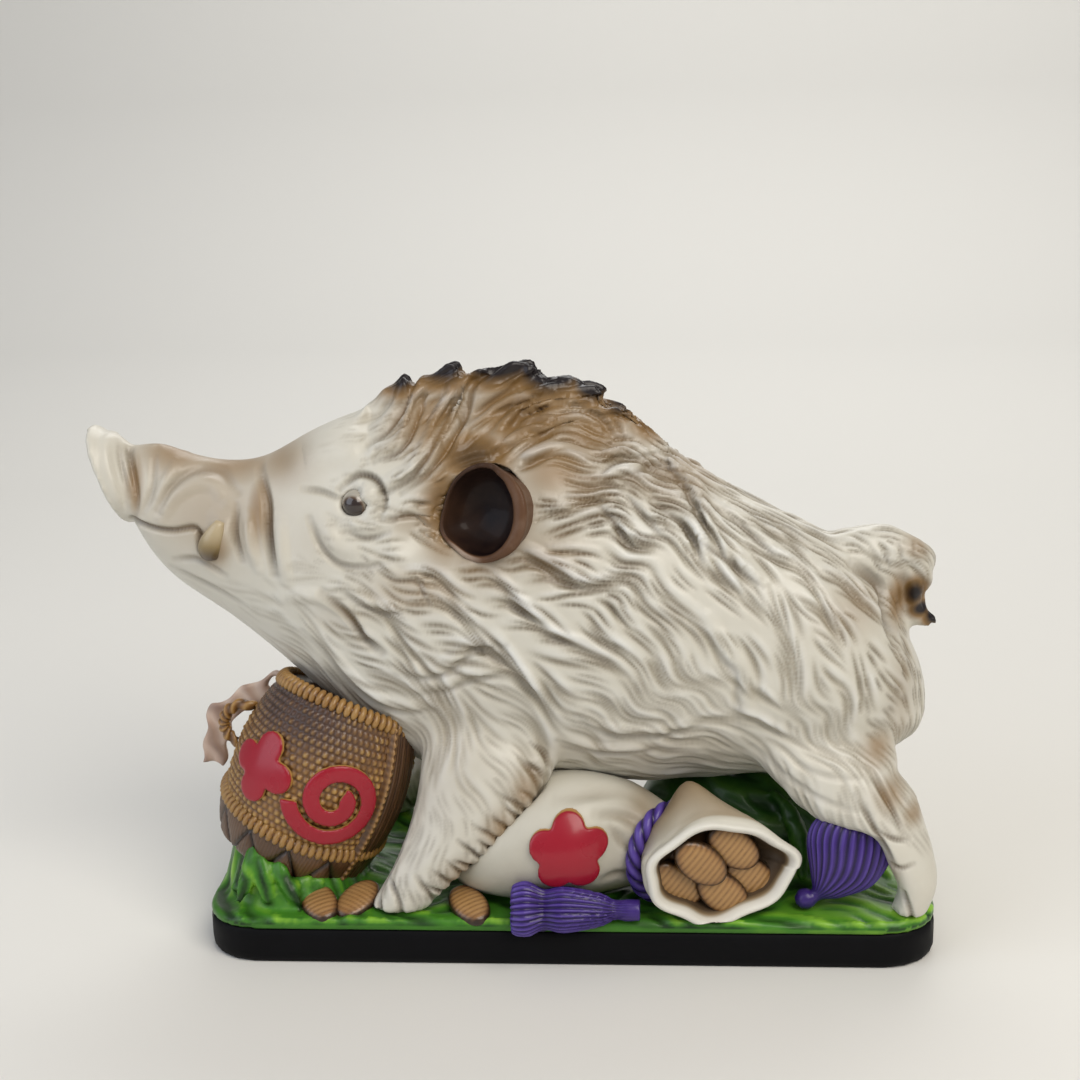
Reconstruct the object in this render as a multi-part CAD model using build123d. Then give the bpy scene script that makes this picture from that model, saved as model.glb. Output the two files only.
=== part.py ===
from build123d import *
from dataclasses import dataclass
from math import cos, pi, radians, sin
import os

# Lucky boar figurine: a hollow-cast boar standing on a grassy plinth, with a straw keg under its chin,
# a coin sack under its belly, two tassels and loose coins.
# Millimetres. +Z up, origin at the centre of the plinth's underside, boar facing -X, show side facing -Y.
# "Height" is counted from the flat top of the green ground, GROUND_TOP above the origin.

# Base
BASE_LENGTH = 238.0
BASE_WIDTH = 98.0
BASE_CORNER = 18.0
PLINTH_HEIGHT = 12.0
PLINTH_EDGE = 0.8
GROUND_THICKNESS = 4.0
GROUND_EDGE = 2.0
GROUND_TOP = PLINTH_HEIGHT + GROUND_THICKNESS

# Casting, pegs and seats
CASTING_WALL = 5.0
SEAT_GAP = 0.1
PEG_RADIUS = 2.5
PEG_LENGTH = 3.0
PEG_CLEARANCE = 0.2
EGG_POINTS = 16
CORE_WALLS = 2.5

# Stance
FRONT_FOOT_INSET = 64.0
HIND_FOOT_INSET = 9.0
FOOT_INSET_Y = 9.5
FAR_FRONT_STEP = -16.0
FAR_HIND_STEP = -20.0

# Neck joint: a slanting cut through the hollow casting
NECK_X = -26.0
NECK_HEIGHT = 106.0
NECK_SLANT = 48.0

# Face
SNOUT_DISC_DEPTH = 6.5
SNOUT_DISC_WIDTH = 29.0
SNOUT_DISC_HEIGHT = 33.5
SNOUT_DISC_LIFT = 4.5
SNOUT_SLANT = 17.8
SNOUT_EDGE = 1.0
SNOUT_WAIST = 0.45
SNOUT_WAIST_FLARE = 0.3
SNOUT_RIM = 0.8
NOSTRIL_RADIUS = 3.2
NOSTRIL_SPACING = 12.0
NOSTRIL_DEPTH = 3.5
EYE_RADIUS = 4.6
EYE_X = -65.0
EYE_HEIGHT = 131.5
EYE_PROUD = 1.6
TUSK_X = -114.5
TUSK_HEIGHT = 118.0
EAR_X = -22.5
EAR_HEIGHT = 131.5
EAR_WIDTH = 26.0
EAR_TALL = 31.0
EAR_DEPTH = 14.0
EAR_WALL = 2.6
EAR_ROOT = 8.4
EAR_FLOOR = 2.1
EAR_ROOT_SIZE = 0.62
EAR_TURN = 20.8
EAR_RISE = 9.2
# Share of the ear's depth, and share of its full size there
EAR_PROFILE = [(0.3, 0.9), (0.65, 1.0), (1.0, 0.94)]

# Mane
MANE_HALF_THICKNESS = 7.0
MANE_ROOT_DEPTH = 16.0
MANE_PEG_X = (-40.0, 30.0)
MANE_SWELL = (-0.08, 0.0, 0.16)

# Keg
KEG_X = -83.5
KEG_Y = -13.0
KEG_TILT = 24.0
KEG_BODY_LENGTH = 36.0
KEG_BELLY_RADIUS = 29.5
KEG_RIM_RADIUS = 27.5
KEG_SKIRT_LENGTH = 11.0
KEG_SKIRT_RADIUS = 25.0
KEG_SKIRT_WALL = 4.0
KEG_END_RECESS = 3.0
ROPE_RADIUS = 2.4
STRAP_START = -43.0
STRAP_ARC = 32.0
STRAP_THICKNESS = 1.0
RELIEF = 1.8
SCROLL_WIDTH = 4.4
SCROLL_RADIUS = 14.0
SCROLL_ANGLE = -73.0
SCROLL_TURNS = 1.6
SCROLL_POINTS = 20
SCROLL_START = 200.0
SCROLL_EYE = 0.22
KEG_BLOSSOM_RADIUS = 10.0
KEG_BLOSSOM_ANGLE = -126.0
KEG_BLOSSOM_PETALS = 4
LOOP_RADIUS = 7.0
LOOP_THICKNESS = 1.8
LOOP_HEIGHT = 5.0
STREAMER_WIDTH = 8.0
STREAMER_THICKNESS = 2.4
STREAMER_BULGE = 12.0
STREAMER_DROP = 36.0
STREAMER_Y = 11.0

# Sack
COLLAR_X = 49.5
COLLAR_Y = -47.0
COLLAR_HALF_WIDTH = 26.0
COLLAR_HALF_HEIGHT = 16.0
COLLAR_WALL = 2.4
COLLAR_TURN = 12.0
COLLAR_THROAT = 17.0
COLLAR_THROAT_SHARE = 0.35
COLLAR_THROAT_SQUEEZE = 0.86
COIN_BED_DEPTH = 7.5
TIE_RADIUS = 2.8
SACK_BLOSSOM_RADIUS = 13.0
SACK_BLOSSOM_X = 1.5
SACK_BLOSSOM_HEIGHT = 22.5
SACK_BLOSSOM_PETALS = 5
PETAL_SHARE = 0.42
HEART_SHARE = 0.3

# Coins
COIN_LENGTH = 15.0
COIN_WIDTH = 9.5
COIN_SLANT = -40.0
COIN_THICKNESS = 2.4
COIN_EDGE = 0.6

# Tassels
TASSEL_SKIRT_RADIUS = 7.5
TASSEL_NECK_RADIUS = 3.4
TASSEL_KNOT_RADIUS = 4.6
FRONT_TASSEL_X = -16.0
FRONT_TASSEL_LENGTH = 40.0
FRONT_TASSEL_HEIGHT = 4.0
# Share of the tassel's length, and share of its skirt radius there
FRONT_TASSEL_PROFILE = [(0.0, 0.95), (0.25, 1.0), (0.6, 0.75), (0.85, 0.5)]
REAR_TASSEL_X = 77.5
REAR_TASSEL_INSET = 11.0
REAR_TASSEL_REACH = 15.0
REAR_TASSEL_RISE = 21.0
REAR_TASSEL_LEAN = 10.0
REAR_TASSEL_MIDDLE = 5.5
REAR_TASSEL_MIDDLE_SHARE = 0.4
REAR_TASSEL_SKIRT_SHARE = 0.8


@dataclass(frozen=True)
class Station:
    """One egg-shaped cross-section of the boar's body."""

    x: float
    top: float
    bottom: float
    half_width: float
    lean: float = 0.0
    waist: float = 0.44


BODY = [
    Station(-144.0, 144.5, 122.5, 11.5, -3.2, 0.5),
    Station(-135.0, 142.5, 104.5, 13.8, -3.0, 0.5),
    Station(-124.0, 142.5, 95.5, 16.0, -2.0, 0.5),
    Station(-112.0, 141.0, 87.5, 18.5, -1.0, 0.5),
    Station(-100.0, 142.0, 78.0, 22.0, 0.0, 0.5),
    Station(-87.0, 148.5, 66.5, 26.5, 0.0, 0.46),
    Station(-73.0, 155.0, 54.0, 30.5, 0.0, 0.42),
    Station(-58.0, 159.0, 42.0, 33.5, 0.0, 0.4),
    Station(-40.0, 159.5, 33.5, 36.0, 0.0, 0.4),
    Station(-20.0, 159.0, 31.0, 37.5, 0.0, 0.41),
    Station(0.0, 156.0, 32.0, 38.0, 0.0, 0.42),
    Station(20.0, 148.0, 30.5, 37.0, 0.0, 0.42),
    Station(40.0, 139.0, 31.5, 35.5, 0.0, 0.42),
    Station(58.0, 128.5, 33.0, 35.0),
    Station(76.0, 119.5, 34.5, 35.0),
    Station(92.0, 110.0, 36.0, 32.5),
    Station(104.0, 98.0, 38.0, 27.0),
    Station(112.0, 82.0, 43.0, 19.5),
    Station(116.5, 70.0, 49.0, 11.5),
]
RUMP_TIP_X = 118.5
RUMP_TIP_HEIGHT = 59.5


@dataclass(frozen=True)
class Ring:
    """One level ellipse of a leg: height, offsets from the foot, and half widths."""

    height: float
    forward: float
    inward: float
    half_x: float
    half_y: float


FRONT_LEG = [
    Ring(56.0, 29.0, 18.0, 22.0, 14.0),
    Ring(37.0, 27.0, 9.5, 20.5, 13.5),
    Ring(20.0, 16.0, 4.0, 14.5, 11.5),
    Ring(9.0, 7.0, 1.0, 11.0, 9.5),
    Ring(0.0, 0.0, 0.0, 10.0, 8.5),
]
HIND_LEG = [
    Ring(52.0, -27.0, 19.0, 24.0, 14.5),
    Ring(36.0, -18.0, 11.0, 21.0, 13.0),
    Ring(25.0, -10.0, 5.5, 16.0, 11.0),
    Ring(15.0, -2.5, 1.5, 11.0, 9.0),
    Ring(8.0, 0.5, 0.0, 8.3, 8.0),
    Ring(0.0, 0.0, 0.0, 8.0, 8.0),
]


@dataclass(frozen=True)
class Tuft:
    """One lock of the mane crest: where it leaves the back and where its tip stands."""

    start_x: float
    start_height: float
    tip_x: float
    tip_height: float


MANE = [
    Tuft(-65.0, 157.0, -52.0, 168.0),
    Tuft(-49.0, 163.5, -35.5, 172.0),
    Tuft(-31.0, 167.0, -7.0, 169.8),
    Tuft(-4.5, 166.5, 11.5, 163.0),
    Tuft(13.5, 159.0, 28.0, 149.5),
]
MANE_END_X = 39.0
MANE_END_HEIGHT = 138.0


@dataclass(frozen=True)
class Knuckle:
    """One round cross-section of a bent, tapering piece: its centre and radius."""

    x: float
    y: float
    height: float
    radius: float

    @property
    def point(self):
        """Centre in the part's frame."""
        return Vector(self.x, self.y, GROUND_TOP + self.height)


TAIL = [
    Knuckle(84.0, 0.0, 105.5, 8.5),
    Knuckle(95.0, 0.0, 107.5, 9.0),
    Knuckle(104.0, 0.0, 104.5, 8.6),
    Knuckle(109.5, 0.0, 97.5, 7.2),
    Knuckle(112.0, 0.0, 91.5, 5.0),
    Knuckle(115.5, 0.0, 88.0, 3.0),
    Knuckle(120.5, 0.0, 87.5, 1.6),
]
# The show-side tusk, as offsets from the skin where it leaves the lip
TUSK = [(0.0, 3.4, -4.0, 3.4), (1.0, -1.4, 0.0, 3.1), (3.5, -1.7, 6.0, 1.2)]
# Grass blades, as rows of place and radius
TUFT_BLADES = [
    [(-102.0, -20.0, 24.0, 1.2), (-106.0, -30.5, 13.0, 2.6), (-110.0, -36.0, 2.0, 1.6)],
    [(-101.0, -30.0, 26.0, 1.2), (-104.0, -40.0, 12.0, 2.6), (-107.0, -43.5, 2.0, 1.4)],
    [(-101.0, -30.0, 24.0, 1.2), (-99.0, -41.0, 11.0, 2.6), (-97.0, -44.5, 2.0, 1.4)],
    [(-95.0, -34.0, 20.0, 1.2), (-91.0, -42.0, 9.0, 2.6), (-86.0, -44.5, 2.0, 1.4)],
]
BANK_LEAF = [(68.0, -6.0, 27.0, 1.5), (76.0, -18.0, 17.0, 3.6), (77.0, -25.0, 3.0, 1.6)]


@dataclass(frozen=True)
class Bulge:
    """One upright cross-section of the sack: centre, half sizes and turn of its axis towards the viewer."""

    x: float
    y: float
    height: float
    half_y: float
    half_z: float
    turn: float = 0.0

    @property
    def plane(self):
        """Plane of the section, its normal along the sack's axis."""
        turn = radians(self.turn)
        place = (self.x, self.y, GROUND_TOP + self.height)
        return Plane(place, x_dir=(sin(turn), cos(turn), 0), z_dir=(cos(turn), -sin(turn), 0))


SACK = [
    Bulge(-37.0, -26.0, 12.0, 7.0, 8.0),
    Bulge(-31.0, -26.0, 15.0, 14.5, 14.0),
    Bulge(-16.0, -25.0, 18.0, 21.0, 19.5),
    Bulge(2.0, -24.0, 20.0, 23.5, 21.0),
    Bulge(16.0, -24.0, 19.5, 20.0, 18.5, 12.0),
    Bulge(26.0, -26.0, 17.5, 15.5, 14.5, 28.0),
    Bulge(32.0, -30.0, 16.0, 13.0, 12.5, 45.0),
]


@dataclass(frozen=True)
class Mound:
    """One level ellipse of a grassy bank."""

    height: float
    x: float
    y: float
    half_x: float
    half_y: float


TUFT_MOUND = [
    Mound(0.0, -93.0, -15.0, 24.0, 29.0),
    Mound(14.0, -94.0, -12.0, 20.0, 25.0),
    Mound(28.0, -97.0, -6.0, 12.0, 16.0),
]
BANK_MOUND = [
    Mound(0.0, 58.0, 10.0, 40.0, 33.0),
    Mound(16.0, 58.0, 12.0, 35.0, 27.0),
    Mound(31.0, 56.0, 15.0, 24.0, 17.0),
]


@dataclass(frozen=True)
class CoinPlace:
    """Where a coin lies on the ground or on the bed in the sack: its middle, turn and layer."""

    x: float
    y: float
    turn: float
    layer: int = 0


GROUND_COINS = [
    CoinPlace(-81.0, -40.5, -60.0),
    CoinPlace(-68.5, -38.5, 60.0),
    CoinPlace(-31.5, -41.5, -55.0),
]
SACK_COINS = [
    CoinPlace(-12.5, -3.0, COIN_SLANT),
    CoinPlace(6.5, -3.0, COIN_SLANT),
    CoinPlace(-2.5, -5.5, COIN_SLANT, 1),
    CoinPlace(3.5, 4.5, COIN_SLANT, 1),
    CoinPlace(-7.0, 3.0, COIN_SLANT, 2),
]


def egg(station, inset=0.0):
    """Closed outline of one body station, drawn in by inset all round."""
    half_width = station.half_width - inset
    top = station.top - inset
    bottom = station.bottom + inset
    waist = bottom + station.waist * (top - bottom)
    points = []
    for step in range(EGG_POINTS):
        turn = 2 * pi * step / EGG_POINTS
        reach = top - waist if sin(turn) > 0 else waist - bottom
        height = waist + reach * sin(turn)
        x = station.x + station.lean * ((height - bottom) / (top - bottom) - 0.5)
        points.append(Vector(x, half_width * cos(turn), GROUND_TOP + height))
    return Wire([Edge.make_spline(points, periodic=True)])


def ellipse_at(plane, half_x, half_y):
    """Elliptical outline on a plane."""
    if half_x >= half_y:
        return Wire([Edge.make_ellipse(half_x, half_y, plane)])
    turned = Plane(plane.origin, plane.y_dir, plane.z_dir)
    return Wire([Edge.make_ellipse(half_y, half_x, turned)])


def bent_taper(points, radii):
    """Solid through round sections that stand square to a bent line of points."""
    wires = []
    for i, point in enumerate(points):
        before = points[max(i - 1, 0)]
        after = points[min(i + 1, len(points) - 1)]
        along = (after - before).normalized()
        across = Vector(0, 1, 0) - along * along.Y
        wires.append(Wire([Edge.make_circle(radii[i], Plane(point, x_dir=across, z_dir=along))]))
    return Solid.make_loft(wires)


def fitted(piece, *neighbours):
    """Piece with the room that its neighbours take cut out of it."""
    for neighbour in neighbours:
        piece = piece - neighbour
    return piece


def blade(rows):
    """Grass blade through rows of place and radius."""
    knuckles = [Knuckle(*row) for row in rows]
    return bent_taper([k.point for k in knuckles], [k.radius for k in knuckles])


def peg(plane, clearance=0.0):
    """Locating peg on both sides of a joint plane, or its socket when a clearance is given."""
    return plane.location * Cylinder(PEG_RADIUS + clearance, 2 * (PEG_LENGTH + clearance))


def flank(x, height):
    """Distance from the mid-plane to the boar's skin."""
    after = next(i for i, s in enumerate(BODY) if s.x > x)
    a, b = BODY[after - 1], BODY[after]
    share = (x - a.x) / (b.x - a.x)
    top = a.top + share * (b.top - a.top)
    bottom = a.bottom + share * (b.bottom - a.bottom)
    half_width = a.half_width + share * (b.half_width - a.half_width)
    middle = bottom + (a.waist + share * (b.waist - a.waist)) * (top - bottom)
    reach = top - middle if height > middle else middle - bottom
    return half_width * max(0.0, 1 - ((height - middle) / reach) ** 2) ** 0.5


def crown(x):
    """Height of the boar's back."""
    after = next(i for i, s in enumerate(BODY) if s.x > x)
    a, b = BODY[after - 1], BODY[after]
    return a.top + (x - a.x) / (b.x - a.x) * (b.top - a.top)


# Base


def base_block(height, bottom=0.0):
    """Rounded slab with the base's outline."""
    return Pos(0, 0, bottom) * extrude(RectangleRounded(BASE_LENGTH, BASE_WIDTH, BASE_CORNER), height)


def make_plinth():
    """Black slab that everything stands on."""
    block = base_block(PLINTH_HEIGHT)
    return chamfer(block.edges().group_by(Axis.Z)[0], PLINTH_EDGE)


def foot_place(far, hind):
    """Centre of one foot on the ground."""
    y = BASE_WIDTH / 2 - FOOT_INSET_Y
    if hind:
        x = BASE_LENGTH / 2 - HIND_FOOT_INSET + (FAR_HIND_STEP if far else 0.0)
    else:
        x = -BASE_LENGTH / 2 + FRONT_FOOT_INSET + (FAR_FRONT_STEP if far else 0.0)
    return Plane((x, y if far else -y, GROUND_TOP))


LEGS = {
    "front_left_leg": (FRONT_LEG, False, False),
    "front_right_leg": (FRONT_LEG, True, False),
    "hind_left_leg": (HIND_LEG, False, True),
    "hind_right_leg": (HIND_LEG, True, True),
}


def make_ground():
    """Green slab on the plinth, with a socket for each foot's peg."""
    slab = base_block(GROUND_THICKNESS, PLINTH_HEIGHT)
    slab = fillet(slab.edges().group_by(Axis.Z)[-1], GROUND_EDGE)
    for _, far, hind in LEGS.values():
        slab -= peg(foot_place(far, hind), PEG_CLEARANCE)
    return slab


def mound(rows):
    """Grassy bank through level ellipses."""
    levels = [ellipse_at(Plane((r.x, r.y, GROUND_TOP + r.height)), r.half_x, r.half_y) for r in rows]
    return Solid.make_loft(levels)


# Boar


def make_body():
    """Whole boar from snout to rump, as a solid and as the hollow inside it."""
    outlines = [egg(s) for s in BODY] + [Vertex(RUMP_TIP_X, 0, GROUND_TOP + RUMP_TIP_HEIGHT)]
    core = [egg(s, CASTING_WALL) for s in BODY if s.half_width > CORE_WALLS * CASTING_WALL]
    return Solid.make_loft(outlines), Solid.make_loft(core)


def neck_plane():
    """Slanting plane of the neck joint, its normal towards the head."""
    slant = radians(NECK_SLANT)
    return Plane((NECK_X, 0, GROUND_TOP + NECK_HEIGHT), z_dir=(-sin(slant), 0, cos(slant)))


def make_leg(rings, far, hind):
    """One leg from inside the body down to its foot, with its locating peg."""
    foot = foot_place(far, hind)
    side = 1 if far else -1
    step = (FAR_HIND_STEP if hind else FAR_FRONT_STEP) if far else 0.0
    wires = []
    for ring in rings:
        back = step * ring.height / rings[0].height
        place = foot.origin + Vector(ring.forward - back, -side * ring.inward, ring.height)
        wires.append(ellipse_at(Plane(place), ring.half_x, ring.half_y))
    return Solid.make_loft(wires) + peg(foot)


def snout_plane():
    """Back of the nose pad, its normal forwards and down."""
    first = BODY[0]
    slant = radians(SNOUT_SLANT)
    middle = GROUND_TOP + (first.top + first.bottom) / 2
    return Plane((first.x, 0, middle), x_dir=(0, -1, 0), z_dir=(-cos(slant), 0, -sin(slant)))


def make_snout_disc():
    """Flared nose pad with two nostrils."""
    first, back = BODY[0], snout_plane()
    stem_w, stem_h = first.half_width, (first.top - first.bottom) / 2

    def level_plane(share):
        """Plane at a share of the pad's depth, lifted along its slant."""
        plane = back.offset(SNOUT_DISC_DEPTH * share)
        plane.origin += back.y_dir * SNOUT_DISC_LIFT * share
        return plane

    def level(share, flare, edge=0.0):
        """Outline at a share of the depth, flared from the stem's size to the rim's."""
        half_w = stem_w + flare * (SNOUT_DISC_WIDTH / 2 - stem_w) - edge
        half_h = stem_h + flare * (SNOUT_DISC_HEIGHT / 2 - stem_h) - edge
        return ellipse_at(level_plane(share), half_w, half_h)

    flared = [level(SNOUT_WAIST, SNOUT_WAIST_FLARE), level(SNOUT_RIM, 1.0), level(1.0, 1.0, SNOUT_EDGE)]
    disc = Solid.make_loft([egg(first)] + flared)
    for side in (-1, 1):
        nostril = Pos(side * NOSTRIL_SPACING / 2, 0, 0) * Cylinder(NOSTRIL_RADIUS, 2 * NOSTRIL_DEPTH)
        disc -= level_plane(1.0).location * nostril
    return disc


def ear_plane():
    """Root of the show-side ear, its normal out of the cup's mouth."""
    turn, rise = radians(EAR_TURN), radians(EAR_RISE)
    place = (EAR_X, -flank(EAR_X, EAR_HEIGHT), GROUND_TOP + EAR_HEIGHT)
    out = (-sin(turn) * cos(rise), -cos(turn) * cos(rise), sin(rise))
    return Plane(place, x_dir=(cos(turn), -sin(turn), 0), z_dir=out)


def make_ear():
    """Show-side ear: a deep cup that opens outwards and forwards."""
    plane = ear_plane()

    def cup(inset, floor):
        """Cup-shaped solid, drawn in by inset, from its floor to its mouth."""
        levels = [(floor, EAR_ROOT_SIZE)] + [(EAR_DEPTH * share, size) for share, size in EAR_PROFILE]
        halves = [(z, EAR_WIDTH / 2 * size - inset, EAR_TALL / 2 * size - inset) for z, size in levels]
        return Solid.make_loft([ellipse_at(plane.offset(z), half_w, half_t) for z, half_w, half_t in halves])

    return cup(0.0, -EAR_ROOT) - cup(EAR_WALL, EAR_FLOOR)


def make_eye(gap=0.0):
    """Show-side eyeball, or its socket when a gap is given."""
    y = -flank(EYE_X, EYE_HEIGHT) + EYE_RADIUS - EYE_PROUD
    return Pos(EYE_X, y, GROUND_TOP + EYE_HEIGHT) * Sphere(EYE_RADIUS + gap)


def make_tusk():
    """Show-side tusk: a short cone that curls up out of the lip."""
    skin = Vector(TUSK_X, -flank(TUSK_X, TUSK_HEIGHT), GROUND_TOP + TUSK_HEIGHT)
    return bent_taper([skin + Vector(x, y, z) for x, y, z, _ in TUSK], [radius for *_, radius in TUSK])


def make_mane():
    """Crest of locks along the back, before it is fitted to the back."""
    starts = [Vector(t.start_x, 0, GROUND_TOP + t.start_height) for t in MANE]
    tips = [Vector(t.tip_x, 0, GROUND_TOP + t.tip_height) for t in MANE]
    end = Vector(MANE_END_X, 0, GROUND_TOP + MANE_END_HEIGHT)
    roots = [Vector(x, 0, GROUND_TOP + crown(x) - MANE_ROOT_DEPTH) for x in (MANE_END_X, MANE[0].start_x)]
    edges = []
    for start, tip, following in zip(starts, tips, starts[1:] + [end]):
        swell = (start + tip) / 2 + Vector(*MANE_SWELL) * (tip - start).length
        edges += [Edge.make_three_point_arc(start, swell, tip), Edge.make_line(tip, following)]
    corners = [end, *roots, starts[0]]
    edges += [Edge.make_line(a, b) for a, b in zip(corners, corners[1:])]
    return extrude(Face(Wire(edges)), MANE_HALF_THICKNESS, dir=(0, 1, 0), both=True)


def mane_peg_planes():
    """Where the mane's pegs enter the back."""
    return [Plane((x, 0, GROUND_TOP + crown(x))) for x in MANE_PEG_X]


# Keg, in its own frame: origin at its middle, Z along its axis


def keg_frame():
    """Place of the keg: tilted, with its low edge on the ground."""
    tilt = radians(KEG_TILT)
    half = KEG_BODY_LENGTH / 2 + KEG_SKIRT_LENGTH
    height = half * cos(tilt) + KEG_SKIRT_RADIUS * sin(tilt)
    return Location((KEG_X, KEG_Y, GROUND_TOP + height), (0, KEG_TILT, 0))


def keg_bulge(grow=0.0):
    """Bulging outline of the keg's side, grown by an allowance."""
    half, rim = KEG_BODY_LENGTH / 2, KEG_RIM_RADIUS + grow
    return ThreePointArc((rim, -half), (KEG_BELLY_RADIUS + grow, 0), (rim, half))


def keg_side(grow=0.0):
    """Bulging straw-wrapped side, grown by an allowance."""
    side = keg_bulge(grow)
    closing = Polyline(side @ 1, (0, KEG_BODY_LENGTH / 2), (0, -KEG_BODY_LENGTH / 2), side @ 0)
    return revolve(Plane.XZ * make_face(side + closing), Axis.Z)


def make_strap():
    """Smooth band that runs up the side."""
    inner, outer = keg_bulge(), keg_bulge(STRAP_THICKNESS)
    section = make_face([inner, outer, Line(inner @ 0, outer @ 0), Line(inner @ 1, outer @ 1)])
    return Rot(0, 0, STRAP_START) * revolve(Plane.XZ * section, Axis.Z, STRAP_ARC)


def keg_skirt(sign):
    """Tapering end skirt below (-1) or above (+1) the side."""
    standing = (Align.CENTER, Align.CENTER, Align.MIN)
    cone = Cone(KEG_RIM_RADIUS, KEG_SKIRT_RADIUS, KEG_SKIRT_LENGTH, align=standing)
    return Pos(0, 0, sign * KEG_BODY_LENGTH / 2) * Rot(0 if sign > 0 else 180, 0, 0) * cone


def rope_ring(sign):
    """Straw rope round the joint of side and skirt."""
    return Pos(0, 0, sign * KEG_BODY_LENGTH / 2) * Torus(KEG_RIM_RADIUS, ROPE_RADIUS)


def blossom(radius, petals):
    """Flat blossom of round petals about a round heart."""
    petal = radius * PETAL_SHARE
    shape = Circle(radius * HEART_SHARE)
    for i in range(petals):
        shape += Rot(0, 0, 90 + 360 * i / petals) * Pos(radius - petal, 0) * Circle(petal)
    return shape


def scroll(radius, width):
    """Flat cloud scroll: a band that winds inwards."""
    points = []
    for i in range(SCROLL_POINTS + 1):
        share = i / SCROLL_POINTS
        reach = (radius - width / 2) * (1 - (1 - SCROLL_EYE) * share)
        turn = radians(SCROLL_START) + 2 * pi * SCROLL_TURNS * share
        points.append((reach * cos(turn), reach * sin(turn)))
    return trace(Spline(*points), width)


def keg_relief(shape, angle):
    """Raised ornament on the keg's side at an angle about its axis."""
    stamp = Rot(0, 0, angle + 90) * (Plane.XZ * shape)
    outward = (cos(radians(angle)), sin(radians(angle)), 0)
    return extrude(stamp, 2 * KEG_BELLY_RADIUS, dir=outward) & (keg_side(RELIEF) - keg_side())


def make_streamer():
    """Folded paper strip that hangs over the keg's upper rim, before it is fitted there."""
    rim, half = -KEG_RIM_RADIUS, KEG_BODY_LENGTH / 2
    root = (rim + STREAMER_WIDTH, half + STREAMER_WIDTH)
    fold = (rim - STREAMER_BULGE, half - STREAMER_DROP / 2)
    end = (rim - STREAMER_WIDTH, half - STREAMER_DROP)
    strip = Pos(0, STREAMER_Y, 0) * (Plane.XZ * trace(Polyline(root, fold, end), STREAMER_WIDTH))
    return extrude(strip, STREAMER_THICKNESS / 2, dir=(0, 1, 0), both=True)


def make_keg():
    """Every piece of the keg by name."""
    half = KEG_BODY_LENGTH / 2
    ropes = {sign: rope_ring(sign) for sign in (-1, 1)}
    core = Cylinder(KEG_SKIRT_RADIUS - KEG_SKIRT_WALL, 2 * (half + KEG_SKIRT_LENGTH - KEG_END_RECESS))
    hole = Cylinder(KEG_SKIRT_RADIUS - KEG_SKIRT_WALL, 2 * (half + KEG_SKIRT_LENGTH))
    side = keg_side()
    pieces = {"keg_body": side + core - ropes[-1] - ropes[1]}
    for sign, word in ((-1, "lower"), (1, "upper")):
        pieces[f"keg_{word}_skirt"] = keg_skirt(sign) - hole - ropes[sign]
        pieces[f"keg_{word}_rope"] = ropes[sign]
    pieces["keg_strap"] = make_strap() - ropes[-1] - ropes[1]
    wound = keg_relief(scroll(SCROLL_RADIUS, SCROLL_WIDTH), SCROLL_ANGLE)
    pieces["keg_scroll"] = wound - pieces["keg_strap"]
    flower = blossom(KEG_BLOSSOM_RADIUS, KEG_BLOSSOM_PETALS)
    pieces["keg_blossom"] = keg_relief(flower, KEG_BLOSSOM_ANGLE)
    loop = Pos(-KEG_BELLY_RADIUS, 0, LOOP_HEIGHT) * Rot(90, 0, 0) * Torus(LOOP_RADIUS, LOOP_THICKNESS)
    pieces["keg_loop"] = loop - side - pieces["keg_blossom"]
    pieces["paper_streamer"] = fitted(make_streamer(), side, ropes[1], keg_skirt(1), core)
    return {name: keg_frame() * piece for name, piece in pieces.items()}


# Sack


def sack_solid(grow=0.0):
    """Full sack lying on the ground, up to its tied neck."""
    return Solid.make_loft([ellipse_at(b.plane, b.half_y + grow, b.half_z + grow) for b in SACK])


def collar_plane():
    """Plane of the sack's open mouth, its normal towards the viewer."""
    turn = radians(COLLAR_TURN)
    place = (COLLAR_X, COLLAR_Y, GROUND_TOP + COLLAR_HALF_HEIGHT + SEAT_GAP)
    return Plane(place, x_dir=(cos(turn), sin(turn), 0), z_dir=(sin(turn), -cos(turn), 0))


def collar_solid(inset=0.0):
    """Flared mouth of the sack from its neck to its rim, drawn in by inset."""
    neck, mouth = SACK[-1], collar_plane()
    middle = neck.plane.origin + (mouth.origin - neck.plane.origin) * COLLAR_THROAT_SHARE
    turn = radians((neck.turn + 90 - COLLAR_TURN) / 2)
    throat = Plane(middle, x_dir=(sin(turn), cos(turn), 0), z_dir=(cos(turn), -sin(turn), 0))
    return Solid.make_loft([
        ellipse_at(neck.plane, neck.half_y - inset, neck.half_z - inset),
        ellipse_at(throat, COLLAR_THROAT - inset, COLLAR_HALF_HEIGHT * COLLAR_THROAT_SQUEEZE - inset),
        ellipse_at(mouth, COLLAR_HALF_WIDTH - inset, COLLAR_HALF_HEIGHT - inset),
    ])


def coin(plane):
    """Oval coin lying on a plane."""
    disc = extrude(Ellipse(COIN_LENGTH / 2, COIN_WIDTH / 2), COIN_THICKNESS)
    return plane.location * fillet(disc.edges(), COIN_EDGE)


def sack_relief():
    """Raised blossom on the front of the sack."""
    middle = (SACK_BLOSSOM_X, SACK[len(SACK) // 2].y, GROUND_TOP + SACK_BLOSSOM_HEIGHT)
    stamp = Pos(*middle) * (Plane.XZ * blossom(SACK_BLOSSOM_RADIUS, SACK_BLOSSOM_PETALS))
    return extrude(stamp, BASE_WIDTH, dir=(0, -1, 0)) & (sack_solid(RELIEF) - sack_solid())


# Tassels


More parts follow.
